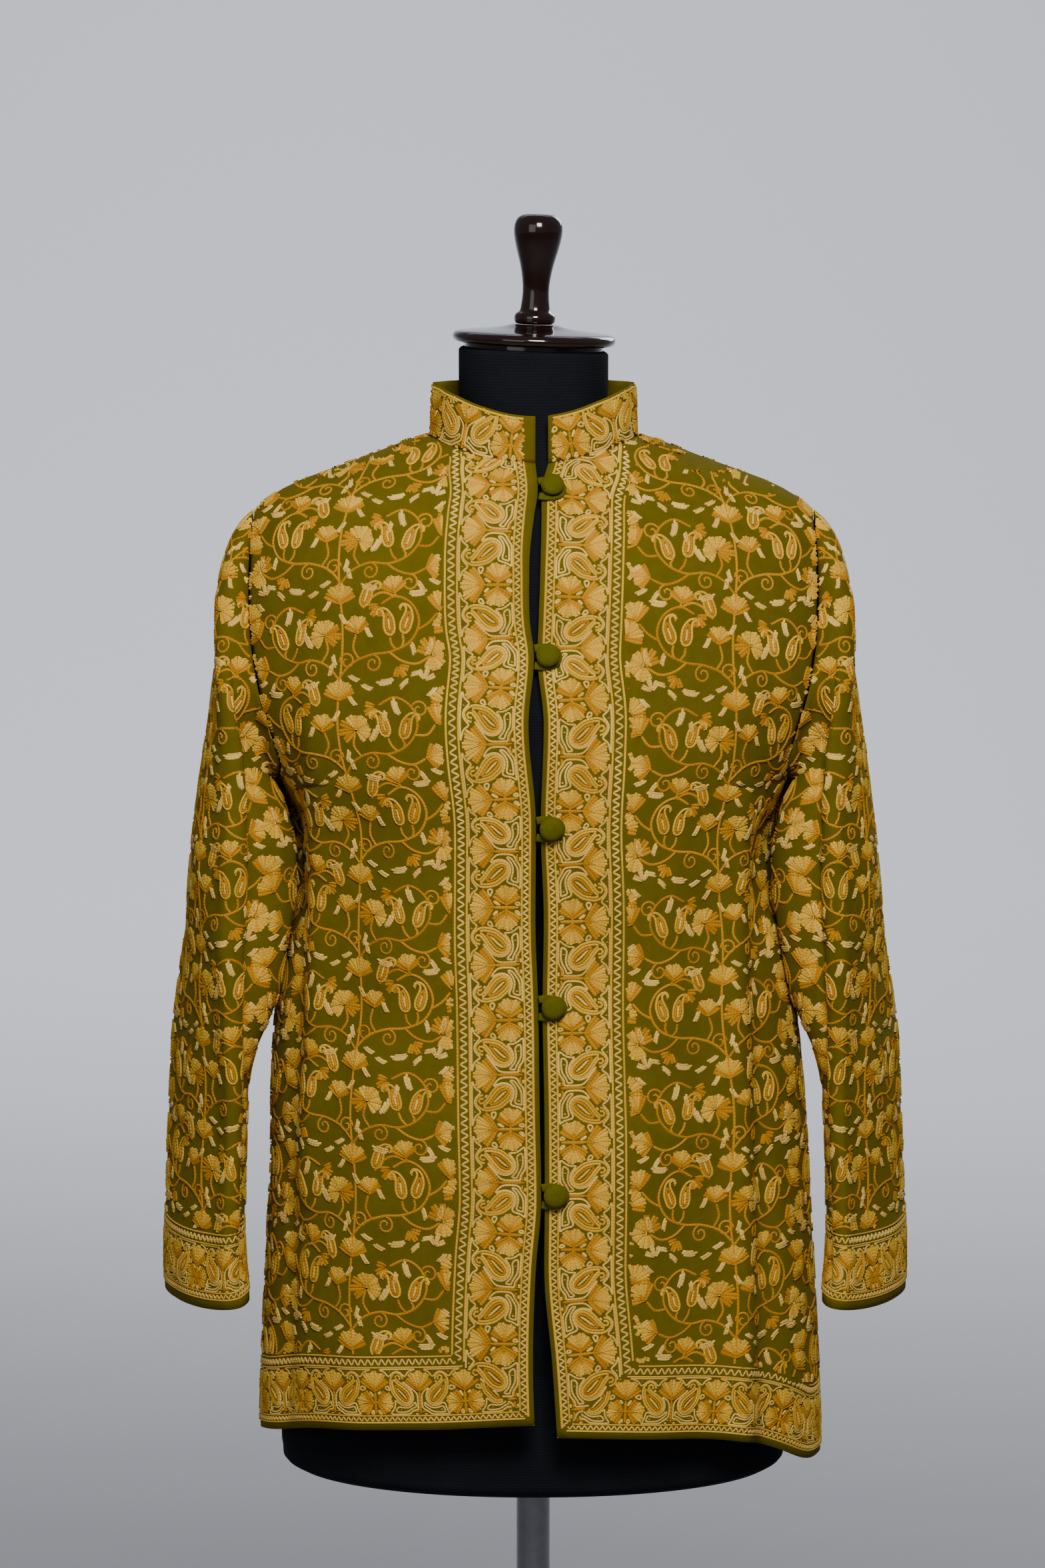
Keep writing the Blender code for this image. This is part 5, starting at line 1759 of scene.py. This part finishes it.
@dataclass
class Sleeve:
    """One set-in sleeve, flattened by its hang, with its border round the cuff."""

    side: Side
    around: int = 72
    step: float = 6.5
    border: Border = field(default_factory=Border)
    cuff_scale: float = 0.88

    @property
    def creases(self) -> tuple[Crease, ...]:
        """The sleeve's folds, at turns in degrees from its outer line towards the front."""
        slip = 0.0 if self.side is Side.LEFT else 7.0
        return (Crease(((150, 30), (240, 50 + slip), (340, 58)), 4.5, 15.0, 40.0),
                Crease(((150, 64), (250, 84), (360, 98 - slip)), -5.5, 18.0, 40.0),
                Crease(((230, 112), (400, 118), (560, 117), (700, 112)), -19.0, 30.0, 60.0),
                Crease(((270, 150), (400, 153), (540, 150)), 17.0, 34.0, 80.0),
                Crease(((270, -150), (400, -153), (540, -150)), 14.0, 34.0, 80.0),
                Crease(((330, 8), (400, 36 + slip), (450, 70)), 2.2, 16.0, 30.0),
                Crease(((380, 62), (430, 34), (470, 4 + slip)), -2.0, 16.0, 30.0),
                Crease(((300, 74 - slip), (520, 72), (710, 74)), 6.0, 12.0, 60.0),
                Crease(((430, 46), (560, 42 + slip), (700, 38)), -2.0, 16.0, 60.0),
                Crease(((360, -60), (420, -30), (480, -8)), -2.4, 18.0, 30.0),
                Crease(((200, -50), (300, -66), (420, -74)), 2.4, 16.0, 50.0),
                Crease(((460, -50), (600, -44), (700, -48)), 2.2, 18.0, 50.0),
                Crease(((450, 100), (560, 108), (700, 104)), -2.4, 14.0, 50.0))

    def rings(self, turns: np.ndarray) -> np.ndarray:
        """The cut's main rings: the armhole, and then those of the table.

        Args:
            turns: How far round each point is, 0 on the outer line and positive to the front.

        Returns:
            The rings, with ring, turn and xyz in order, in world mm.
        """
        sign = self.side.value
        share = 0.5 - 0.5 * np.cos(turns)
        drop = SHOULDER_DROP + share * (UNDERARM_DROP - SHOULDER_DROP)
        angle = outer_angle(drop) * sign
        armhole = BODY.point(drop, np.where(turns >= 0, angle, math.pi - angle))
        armhole[:, 0] += sign * 0.88
        made = [armhole]
        last = SLEEVE[-1]
        for row in SLEEVE:
            out, out_drop, inn, inn_drop, front, back, fold, flare, forward = row
            shift = SLEEVE_SHIFT[self.side] * (out_drop - SHOULDER_DROP) / (last[1] - SHOULDER_DROP)
            outer = np.array([sign * (out + shift), 0.0, NECK_TOP / MM - out_drop])
            inner = np.array([sign * (inn + shift), 0.0, NECK_TOP / MM - inn_drop])
            reach = (outer - inner) / 2
            reach = reach * math.sqrt(max(0.05, 1.0 - (fold / np.linalg.norm(reach)) ** 2))
            depth = np.where(turns >= 0, front, back)
            sine = np.abs(np.sin(turns))
            ring = (outer + inner) / 2 + reach * np.cos(turns)[:, None]
            ring[:, 0] += (-sign * fold * np.where(turns >= 0, 1.0, -1.0) + sign * flare) * sine
            ring[:, 1] -= np.where(turns >= 0, 1.0, -1.0) * depth * sine + forward
            made.append(ring)
        return np.stack(made)

    def sheet(self) -> Sheet:
        """The sleeve's cloth, cut open along its inner line."""
        turns = np.linspace(-math.pi, math.pi, self.around + 1)
        rings = self.rings(turns)
        gaps = np.linalg.norm(np.diff(rings, axis=0), axis=-1).mean(axis=1)
        knots = np.concatenate([[0.0], np.cumsum(gaps)])
        slopes = np.gradient(rings, knots, axis=0)
        fine = even_steps(0.0, knots[-1], self.step)
        points = eased(knots, rings, slopes, fine)
        out = facing_out(points, tube=True)
        drop = NECK_TOP / MM - points[..., 2]
        degrees = np.degrees(turns)[None, :]
        push = sum(crease.push(drop, degrees) for crease in self.creases)
        along = fine[:, None] / fine[-1]
        push = push + ripple(drop, 60.0 * np.sin(np.abs(degrees) * math.pi / 360) * 2.0,
                             31 + self.side.value, 0.8)
        seam = np.clip(along * 12.0, 0.0, 1.0) * np.clip((180.0 - np.abs(degrees)) / 25.0, 0.0, 1.0)
        points = points + out * (push * seam)[..., None]
        points[:, -1] = points[:, 0]
        flat = laid_flat(points, np.zeros(len(points)), self.around // 2, -1, 1500)
        flat = flat - flat[-1, self.around // 2]
        return Sheet(f"sleeve_{self.side.word}", points, flat, tube=True, upright_top=True)

    def build(self, palette: Palette) -> None:
        """Makes the sleeve's cloth and embroidery."""
        sheet = self.sheet()
        cuff = sheet.flat[-1]
        above = risen(cuff, CUFF_INSET)
        low = self.border.depth * self.cuff_scale
        girth = float(lengths_along(cuff)[-1])
        repeats = max(1, round(girth / (self.border.period * self.cuff_scale)))
        fitted = Border(girth / repeats / self.cuff_scale)
        cuff_inset = np.full(len(cuff), CUFF_INSET)
        runs = fitted.laid_along(cuff, -1.0, 0.0, cuff_inset, self.cuff_scale)

        def in_cuff(p: np.ndarray) -> np.ndarray:
            """Spots of the cuff's border."""
            return (above(p) > -STITCH_SLACK) & (above(p) < low)

        field_runs = Repeat().on_panel(sheet, np.array([-40.0, -low - 16.0]))
        works = (Needlework(f"sleeve_{self.side.word}_cuff_border", sheet, runs),
                 Needlework(f"sleeve_{self.side.word}_field", sheet, field_runs))
        keeps = (in_cuff, lambda p: above(p) > low + FIELD_GAP)
        finish_sheet(sheet, palette.wool, works, keeps,
                     palette.threads)


@dataclass
class Collar:
    """The stand collar, covered in the border's flowers."""

    columns: int = 132
    rows: int = 9
    lift: float = -0.5
    top_drop: float = 25.0
    front_fall: float = 20.0
    lean: float = 0.03

    def sheet(self) -> Sheet:
        """The collar's cloth."""
        left = float(FRONT_EDGES.at("left", NECK_FRONT_DROP))
        right = float(FRONT_EDGES.at("right", NECK_FRONT_DROP))
        start = math.asin(left / NECKLINE_WIDTH)
        end = 2 * math.pi + math.asin(right / NECKLINE_WIDTH)
        turn = np.linspace(start, end, self.columns + 1)[None, :]
        share = np.linspace(1.0, 0.0, self.rows + 1)[:, None]
        facing = np.cos(turn) > 0
        reach = NECKLINE_WIDTH * np.sin(turn)
        base_drop = np.where(facing, neckline_drop(reach, NECK_FRONT_DROP),
                             neckline_drop(reach, NECK_BACK_DROP))
        angle = np.arcsin(np.clip(reach / BODY.at("half", base_drop), -1.0, 1.0))
        base = BODY.point(base_drop, np.where(facing, angle, math.pi - angle))
        base[..., 0] -= BODY.at("shift", base_drop)
        fall = np.where(facing, self.front_fall * np.abs(np.cos(turn)) ** 2.6, 0.0)
        up = (base_drop - self.lift - self.top_drop - fall) * share + self.lift
        inward = -base[..., :2] / np.linalg.norm(base[..., :2], axis=-1, keepdims=True)
        points = np.broadcast_to(base, up.shape + (3,)).copy()
        points[..., :2] += inward * (self.lean * up)[..., None]
        points[..., 2] += up
        wave = 0.5 * np.sin(turn * 7 + 1.0) * share + 0.4 * np.sin(turn * 17) * share**2
        points[..., :2] -= inward * wave[..., None]
        flat = laid_flat(points, np.zeros(len(points)), self.columns // 2, self.rows // 2, 1200)
        return Sheet("collar", points, flat)

    def build(self, palette: Palette) -> None:
        """Makes the collar's cloth and embroidery."""
        sheet = self.sheet()
        base = sheet.flat[-1]
        top = sheet.flat[0]
        middle = sheet.flat[:, self.columns // 2]
        tall = float(np.linalg.norm(middle[-1] - middle[0]))
        scale = tall / 40.5
        border = Border()
        start = float(lengths_along(base)[self.columns // 2] % (border.period * scale))
        runs = border.laid_along(base, -1.0, start, np.full(len(base), -6.8 * scale), scale,
                                 outer_lines=False, inner_lines=False)
        ends = sheet.flat[:, 0], sheet.flat[:, -1]

        def on_collar(p: np.ndarray) -> np.ndarray:
            """Spots inside the collar's plain rim."""
            under = p[:, 1] - np.interp(p[:, 0], top[:, 0], top[:, 1])
            first = p[:, 0] - np.interp(p[:, 1], ends[0][:, 1], ends[0][:, 0])
            last = np.interp(p[:, 1], ends[1][:, 1], ends[1][:, 0]) - p[:, 0]
            return (under > 1.6) & (first > 2.2) & (last > 7.5)

        rim = np.array([(x, np.interp(x, top[:, 0], top[:, 1]) + 2.4)
                        for x in even_steps(top[0, 0] + 3.0, top[-1, 0] - 8.0, 3.5)])
        runs.append(Run(rim, np.full(len(rim), 0.9), 0.9, Thread.GOLD))
        work = Needlework("collar_border", sheet, runs)
        finish_sheet(sheet, palette.wool, (work,),
                     (on_collar,), palette.threads)


# ------------------------------------------------------------------ modelled with operators
def picked(made: bpy.types.Object) -> None:
    """Selects one object alone and makes it active."""
    bpy.ops.object.select_all(action="DESELECT")
    bpy.context.view_layer.objects.active = made
    made.select_set(True)


def apply_all(made: bpy.types.Object) -> None:
    """Applies an object's place and then its modifiers, in order."""
    picked(made)
    bpy.ops.object.transform_apply(location=True, rotation=True, scale=True)
    for modifier in list(made.modifiers):
        bpy.ops.object.modifier_apply(modifier=modifier.name)


def turned_piece(name: str, profile: Sequence[tuple[float, float]], segments: int,
                 level: int = 0) -> bpy.types.Object:
    """A solid of revolution, extruded ring by ring from a circle.

    Args:
        name: Its name.
        profile: Radius and height of each ring, from the foot up, in metres.
        segments: How many sides the circle has.
        level: Its subdivision.

    Returns:
        The piece, about the world's Z axis.
    """
    radius, height = profile[0]
    bpy.ops.object.select_all(action="DESELECT")
    bpy.ops.mesh.primitive_circle_add(vertices=segments, radius=radius, fill_type="NGON",
                                      location=(0.0, 0.0, height))
    made = bpy.context.object
    made.name = name
    apply_all(made)
    picked(made)
    bpy.ops.object.mode_set(mode="EDIT")
    bpy.ops.mesh.select_mode(type="FACE")
    bpy.ops.mesh.select_all(action="SELECT")
    for wide, high in profile[1:]:
        bpy.ops.mesh.extrude_region_move(TRANSFORM_OT_translate={"value": (0, 0, high - height)})
        if abs(wide - radius) > 1e-7:
            share = wide / radius
            bpy.ops.transform.resize(value=(share, share, 1.0), center_override=(0, 0, high))
        radius, height = wide, high
    bpy.ops.mesh.select_all(action="SELECT")
    bpy.ops.mesh.normals_make_consistent(inside=False)
    mesh = bmesh.from_edit_mesh(made.data)
    for end in [f for f in mesh.faces if len(f.verts) > 4]:
        bpy.ops.mesh.select_all(action="DESELECT")
        end.select = True
        bpy.ops.mesh.inset(thickness=min(radius, profile[0][0]) * 0.18)
        mesh = bmesh.from_edit_mesh(made.data)
        mesh.faces.ensure_lookup_table()
    bpy.ops.object.mode_set(mode="OBJECT")
    if level:
        smooth = made.modifiers.new("smooth", "SUBSURF")
        smooth.levels = smooth.render_levels = level
    apply_all(made)
    bpy.ops.object.shade_smooth_by_angle(angle=math.radians(50))
    return made


def dressed(made: bpy.types.Object, finish: bpy.types.Material, node: str) -> None:
    """Gives a piece its material, hides the model's part that it stands for, and lets it ride on the stand.
    """
    made.data.materials.clear()
    made.data.materials.append(finish)
    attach(made, "root")
    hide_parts(node)


@dataclass
class Fastening:
    """A cloth covered button on the left front, and the folded cloth loop from the right."""

    number: int
    drop: float
    radius: float = 0.0086
    rise: float = 0.0052
    band: float = 0.0056
    band_thick: float = 0.0021
    loop_radius: float = 0.0062

    def frame(self, drop: float, inset: float) -> tuple[Vector, Vector, Vector, Vector]:
        """A place on the left front, and the directions across, up and out from it.

        Args:
            drop: Its drop, mm.
            inset: How far in from the left front's edge, mm.

        Returns:
            The place in metres, and the three directions.
        """
        def spot(offset: float, lower: float) -> Vector:
            """A point of the front near the place."""
            at = drop + lower
            x = float(FRONT_EDGES.at("left", at)) + offset
            angle = math.asin((x - float(BODY.at("shift", at))) / float(BODY.at("half", at)))
            return Vector(BODY.point(np.array(at), np.array(angle)) * MM)

        up = (spot(inset, -4.0) - spot(inset, 4.0)).normalized()
        across = (spot(inset + 3.0, 0.0) - spot(inset - 3.0, 0.0)).normalized()
        out = across.cross(up).normalized()
        up = out.cross(across).normalized()
        return spot(inset, 0.0), across, up, out

    def button(self, finish: bpy.types.Material) -> None:
        """Makes the button: a covered dome on its shank."""
        profile = [(0.0026, 0.0003), (0.0026, 0.0050), (0.0070, 0.0053), (0.0082, 0.0056),
                   (0.0086, 0.0064), (0.0084, 0.0074), (0.0077, 0.0087), (0.0063, 0.0098),
                   (0.0043, 0.0104), (0.0021, 0.0107)]
        made = turned_piece(f"button_{self.number}_cover", profile, 28, 1)
        here, across, up, out = self.frame(self.drop, BUTTON_INSET)
        turn = Matrix((across, up, out)).transposed().to_4x4()
        turn.translation = here
        made.data.transform(turn)
        dressed(made, finish, f"button_{self.number}")

    def route(self) -> np.ndarray:
        """The loop's centre line about the button's middle, across and up, in metres."""
        right = float(FRONT_EDGES.at("right", self.drop)) * MM
        left = float(FRONT_EDGES.at("left", self.drop)) * MM
        start = right - left - BUTTON_INSET * MM + 0.0003
        tilt = 0.0009
        arc = [(self.loop_radius * math.cos(a) + 0.0012, self.loop_radius * math.sin(a) * 0.98 - tilt)
               for a in np.radians(np.linspace(80, -80, 11))]
        ends = [(start, self.loop_radius * 0.86), (start * 0.55, self.loop_radius * 0.97)]
        return np.array(ends + arc + [(x, -y - 1.6 * tilt) for x, y in ends[::-1]])

    def loop(self, finish: bpy.types.Material) -> None:
        """Makes the loop: a flat folded band round the shank."""
        here, across, up, out = self.frame(self.drop, BUTTON_INSET)
        line = smooth_line(self.route() / MM, 1.0) * MM
        way = np.gradient(line, axis=0)
        way /= np.hypot(*way.T)[:, None]
        aside = np.stack([-way[:, 1], way[:, 0]], axis=-1)
        turns = np.radians(np.arange(0, 360, 30))
        wide = np.sign(np.cos(turns)) * np.abs(np.cos(turns)) ** 0.55 * self.band / 2
        tall = np.sign(np.sin(turns)) * np.abs(np.sin(turns)) ** 0.8 * self.band_thick / 2
        axes = np.array([across, up, out])
        rings = []
        for k in range(len(line)):
            lift = 0.0006 + self.band_thick / 2 + 0.0004 * math.sin(k * 0.7) ** 2
            flat = line[k] + aside[k] * wide[:, None]
            local = np.column_stack([flat, tall + lift])
            rings.append(np.array(here) + local @ axes)
        points = np.concatenate(rings)
        count = len(turns)
        k, i = (a.ravel() for a in np.mgrid[0:len(line) - 1, 0:count])
        j = (i + 1) % count
        faces = np.stack([k * count + i, k * count + j, (k + 1) * count + j, (k + 1) * count + i],
                         axis=-1)
        made = mesh_object(f"loop_{self.number}_band", points, faces, [finish])
        mesh = bmesh.new()
        mesh.from_mesh(made.data)
        bmesh.ops.holes_fill(mesh, edges=[e for e in mesh.edges if e.is_boundary], sides=0)
        bmesh.ops.recalc_face_normals(mesh, faces=mesh.faces)
        mesh.to_mesh(made.data)
        mesh.free()
        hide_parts(f"loop_{self.number}")

    def build(self, palette: Palette) -> None:
        """Makes the button and its loop."""
        self.button(palette.trim)
        self.loop(palette.trim)
        LOG.info("fastening %d at a drop of %.0f mm", self.number, self.drop)


@dataclass
class DressForm:
    """The limbless torso, the cap on its neck and the turned knob."""

    around: int = 96
    cap: tuple[tuple[float, float], ...] = (
        (50.5, 0.0), (50.5, 2.6), (51.2, 3.0), (55.6, 3.05), (57.8, 3.7), (59.1, 5.2), (59.5, 7.0),
        (59.2, 8.6), (57.9, 10.3), (55.2, 11.35), (51.0, 11.95), (46.0, 12.5), (40.0, 13.1),
        (34.0, 13.7), (28.5, 14.3), (24.0, 15.1), (20.0, 16.0), (16.6, 17.2))
    finial: tuple[tuple[float, float], ...] = (
        (13.0, 0.0), (14.2, 0.7), (14.9, 2.4), (15.0, 4.4), (14.8, 6.2), (14.0, 7.7), (12.6, 8.8),
        (11.4, 9.6), (10.8, 11.4), (10.4, 14.4), (9.9, 19.0), (9.65, 24.0), (9.8, 29.0),
        (10.4, 34.5), (11.3, 40.0), (12.6, 46.0), (14.2, 52.0), (15.7, 57.6), (16.9, 63.0),
        (17.6, 67.6), (17.8, 71.2), (17.5, 74.8), (16.6, 77.8), (15.2, 80.2), (13.2, 81.9),
        (10.6, 82.9), (7.0, 83.4))

    def torso(self, finish: bpy.types.Material) -> None:
        """Makes the torso in one smooth skin from the neck to its lower edge."""
        drops = np.concatenate([[0.0, 0.5, 1.2, 2.4, 4.0], even_steps(12, 48, 9), even_steps(52, 100, 3.0),
                                even_steps(106, 810, 11), [815, 819, 822, 825, 827, 828.4, 829]])
        profile = [(0.05, NECK_TOP - drop * MM) for drop in drops[::-1]]
        made = turned_piece("form_skin", profile, self.around)
        old = np.zeros(len(made.data.vertices) * 3)
        made.data.vertices.foreach_get("co", old)
        old = old.reshape(-1, 3)
        drop = (NECK_TOP - old[:, 2]) / MM
        angle = np.arctan2(old[:, 0], -old[:, 1])
        share = np.hypot(old[:, 0], old[:, 1]) / 0.05
        new = FORM.point(drop, angle)
        middle = np.array([0.0, 0.0, 1.0]) * new[:, 2:]
        new = middle + (new - middle) * share[:, None]
        new[:, 2] -= new[:, 0] * math.tan(CAP_LEAN) * FORM.at("lean", drop)
        made.data.vertices.foreach_set("co", (new * MM).astype(np.float32).ravel())
        made.data.update()
        dressed(made, finish, "form_torso")

    def build(self, palette: Palette) -> None:
        """Makes the torso, the cap and the knob, which tip together."""
        self.torso(palette.jersey)
        tip = Matrix.Rotation(CAP_LEAN, 4, "Y")
        tip.translation = Vector((0.0, 0.0, NECK_TOP))
        for name, rows, foot, segments in (("neck_cap", self.cap, 0.3, 96),
                                           ("finial", self.finial, 17.8, 64)):
            tall = 0.955 if name == "finial" else 1.0
            rings = [(r * MM, z * tall * MM) for r, z in rows]
            made = turned_piece(f"{name}_turned", rings, segments)
            made.data.transform(tip @ Matrix.Translation((0.0, 0.0, foot * MM)))
            dressed(made, palette.lacquer, name)
        LOG.info("dress form")


@dataclass
class Stand:
    """The chrome pole, the socket that holds it and the round base."""

    pole_radius: float = 0.0125
    base_radius: float = 0.180
    base_thick: float = 0.010
    hub_height: float = 0.046

    def build(self, palette: Palette) -> None:
        """Makes the pole, the socket and the base."""
        bottom = NECK_TOP - 0.829
        foot = self.base_thick + 0.0003
        r, t = self.base_radius, self.base_thick
        plate = turned_piece("base_disc", [
            (r - 0.0012, 0.0), (r - 0.0003, 0.0006), (r, 0.0018), (r, t - 0.0046), (r - 0.0006, t - 0.0028),
            (r - 0.002, t - 0.0012), (r - 0.0042, t - 0.0003), (r - 0.007, t), (r - 0.02, t)], 128)
        dressed(plate, palette.enamel, "base_plate")
        hub = turned_piece("socket", [
            (0.0290, foot), (0.0300, foot + 0.0008), (0.0300, foot + 0.0046), (0.0290, foot + 0.0062),
            (0.0245, foot + 0.0095), (0.0214, foot + 0.0145), (0.0196, foot + 0.0215),
            (0.0186, foot + 0.0300), (0.0180, foot + 0.0420), (0.0174, foot + 0.0452),
            (0.0162, foot + 0.0460)], 72)
        dressed(hub, palette.enamel, "pole_hub")
        pole = turned_piece("pole_tube", [
            (self.pole_radius, foot + 0.0468), (self.pole_radius, 0.25), (self.pole_radius, 0.45),
            (self.pole_radius, bottom - 0.0003)], 64)
        dressed(pole, palette.chrome, "pole")
        LOG.info("stand")


# ------------------------------------------------------------------ studio
@dataclass
class Studio:
    """The pale floor that curves up into a backdrop, the soft lights and the camera."""

    lens: float = 121.9
    pitch: float = 7.5
    eye: tuple[float, float, float] = (-0.008, -3.87, 1.69)
    # the floor's colour near the front is the paper darkened by painted shade
    near_shaded_colour: tuple[float, float, float] = (0.30, 0.30, 0.325)
    far_colour: tuple[float, float, float] = (0.66, 0.68, 0.75)
    darker_to: float = 1.5
    paler_from: float = 7.0
    half_width: float = 16.0
    curve_start: float = 6.0
    curve_radius: float = 7.0
    wall_top: float = 12.0

    def paper(self) -> bpy.types.Material:
        """Builds the floor's pale finish, with painted shade that makes it a little darker near the front.
        """
        made = bpy.data.materials.new("floor_paper")
        made.use_nodes = True
        nodes = Nodes(made.node_tree)
        shader = nodes.tree.nodes["Principled BSDF"]
        shader.inputs["Roughness"].default_value = 0.95
        shader.inputs["Specular IOR Level"].default_value = 0.1
        place = nodes.add("TexCoord").outputs["Object"]
        # painted shade: the colour darkens from far_colour to the near colour towards the front
        share = nodes.add("MapRange", interpolation_type="SMOOTHSTEP")
        for key, value in (("Value", nodes.split(place)[1]), ("From Min", self.darker_to),
                           ("From Max", self.paler_from)):
            nodes.feed(share.inputs[key], value)
        mix = nodes.add("Mix", data_type="RGBA")
        nodes.feed(mix.inputs[0], share.outputs["Result"])
        nodes.feed(mix.inputs[6], (*self.near_shaded_colour, 1.0))
        nodes.feed(mix.inputs[7], (*self.far_colour, 1.0))
        nodes.feed(shader.inputs["Base Color"], mix.outputs[2])
        return made

    def backdrop(self) -> None:
        """Makes the floor and its curve up, far behind."""
        start, radius, wide = self.curve_start, self.curve_radius, self.half_width
        rows = [(-wide, 0.0), (0.0, 0.0), (start, 0.0)]
        for angle in np.radians(np.arange(5, 91, 5)):
            rows.append((start + radius * math.sin(angle), radius * (1.0 - math.cos(angle))))
        rows.append((start + radius, self.wall_top))
        points = np.array([(x, y, z) for y, z in rows for x in (-wide, wide)])
        k = np.arange(len(rows) - 1) * 2
        faces = np.stack([k, k + 1, k + 3, k + 2], axis=-1)
        data = bpy.data.meshes.new("floor")
        data.from_pydata(points.tolist(), [], faces.tolist())
        data.shade_smooth()
        data.materials.append(self.paper())
        floor = bpy.data.objects.new("floor", data)
        bpy.context.scene.collection.objects.link(floor)

    def light(self, name: str, place: tuple[float, float, float], power: float, size: float,
              aim: tuple[float, float, float] = (0.0, 0.0, 1.1)) -> None:
        """A soft square light.

        Args:
            name: Its name.
            place: Where it stands.
            power: Its power, in watts.
            size: The length of its side.
            aim: What it points at.
        """
        data = bpy.data.lights.new(name, "AREA")
        data.energy = power
        data.size = size
        made = bpy.data.objects.new(name, data)
        made.location = place
        made.rotation_euler = (Vector(aim) - Vector(place)).to_track_quat("-Z", "Y").to_euler()
        bpy.context.scene.collection.objects.link(made)

    def build(self) -> None:
        """Makes the studio."""
        self.backdrop()
        self.light("key", (0.2, -2.05, 2.7), 70.0, 0.8, (0.02, 0.0, 1.46))
        self.light("fill", (-1.9, -3.4, 2.4), 20.0, 2.2, (0.0, 0.0, 1.3))
        self.light("wash", (-0.6, 5.0, 6.5), 590.0, 5.0, (0.0, 10.0, 1.2))
        self.light("back", (2.2, 4.2, 3.2), 60.0, 2.2)
        world = bpy.data.worlds.new("studio")
        world.use_nodes = True
        world.node_tree.nodes["Background"].inputs[0].default_value = (0.80, 0.82, 0.88, 1.0)
        world.node_tree.nodes["Background"].inputs[1].default_value = 0.19
        bpy.context.scene.world = world
        data = bpy.data.cameras.new("camera")
        data.sensor_fit = "VERTICAL"
        data.sensor_height = 36.0
        data.lens = self.lens
        camera = bpy.data.objects.new("camera", data)
        camera.location = self.eye
        camera.rotation_euler = (math.radians(90.0 - self.pitch), 0.0, 0.0)
        bpy.context.scene.collection.objects.link(camera)
        bpy.context.scene.camera = camera
        LOG.info("studio")


def main() -> None:
    """Builds the jacket on its form."""
    logging.basicConfig(level=logging.INFO, format="%(message)s", stream=sys.stdout)
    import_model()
    Studio().build()
    palette = Palette.mixed()
    DressForm().build(palette)
    Stand().build(palette)
    for side in Side:
        Front(side).build(palette)
        Sleeve(side).build(palette)
    Back().build(palette)
    Collar().build(palette)
    for number, drop in enumerate(BUTTON_DROPS, start=1):
        Fastening(number, drop).build(palette)


if __name__ == "__main__":
    main()
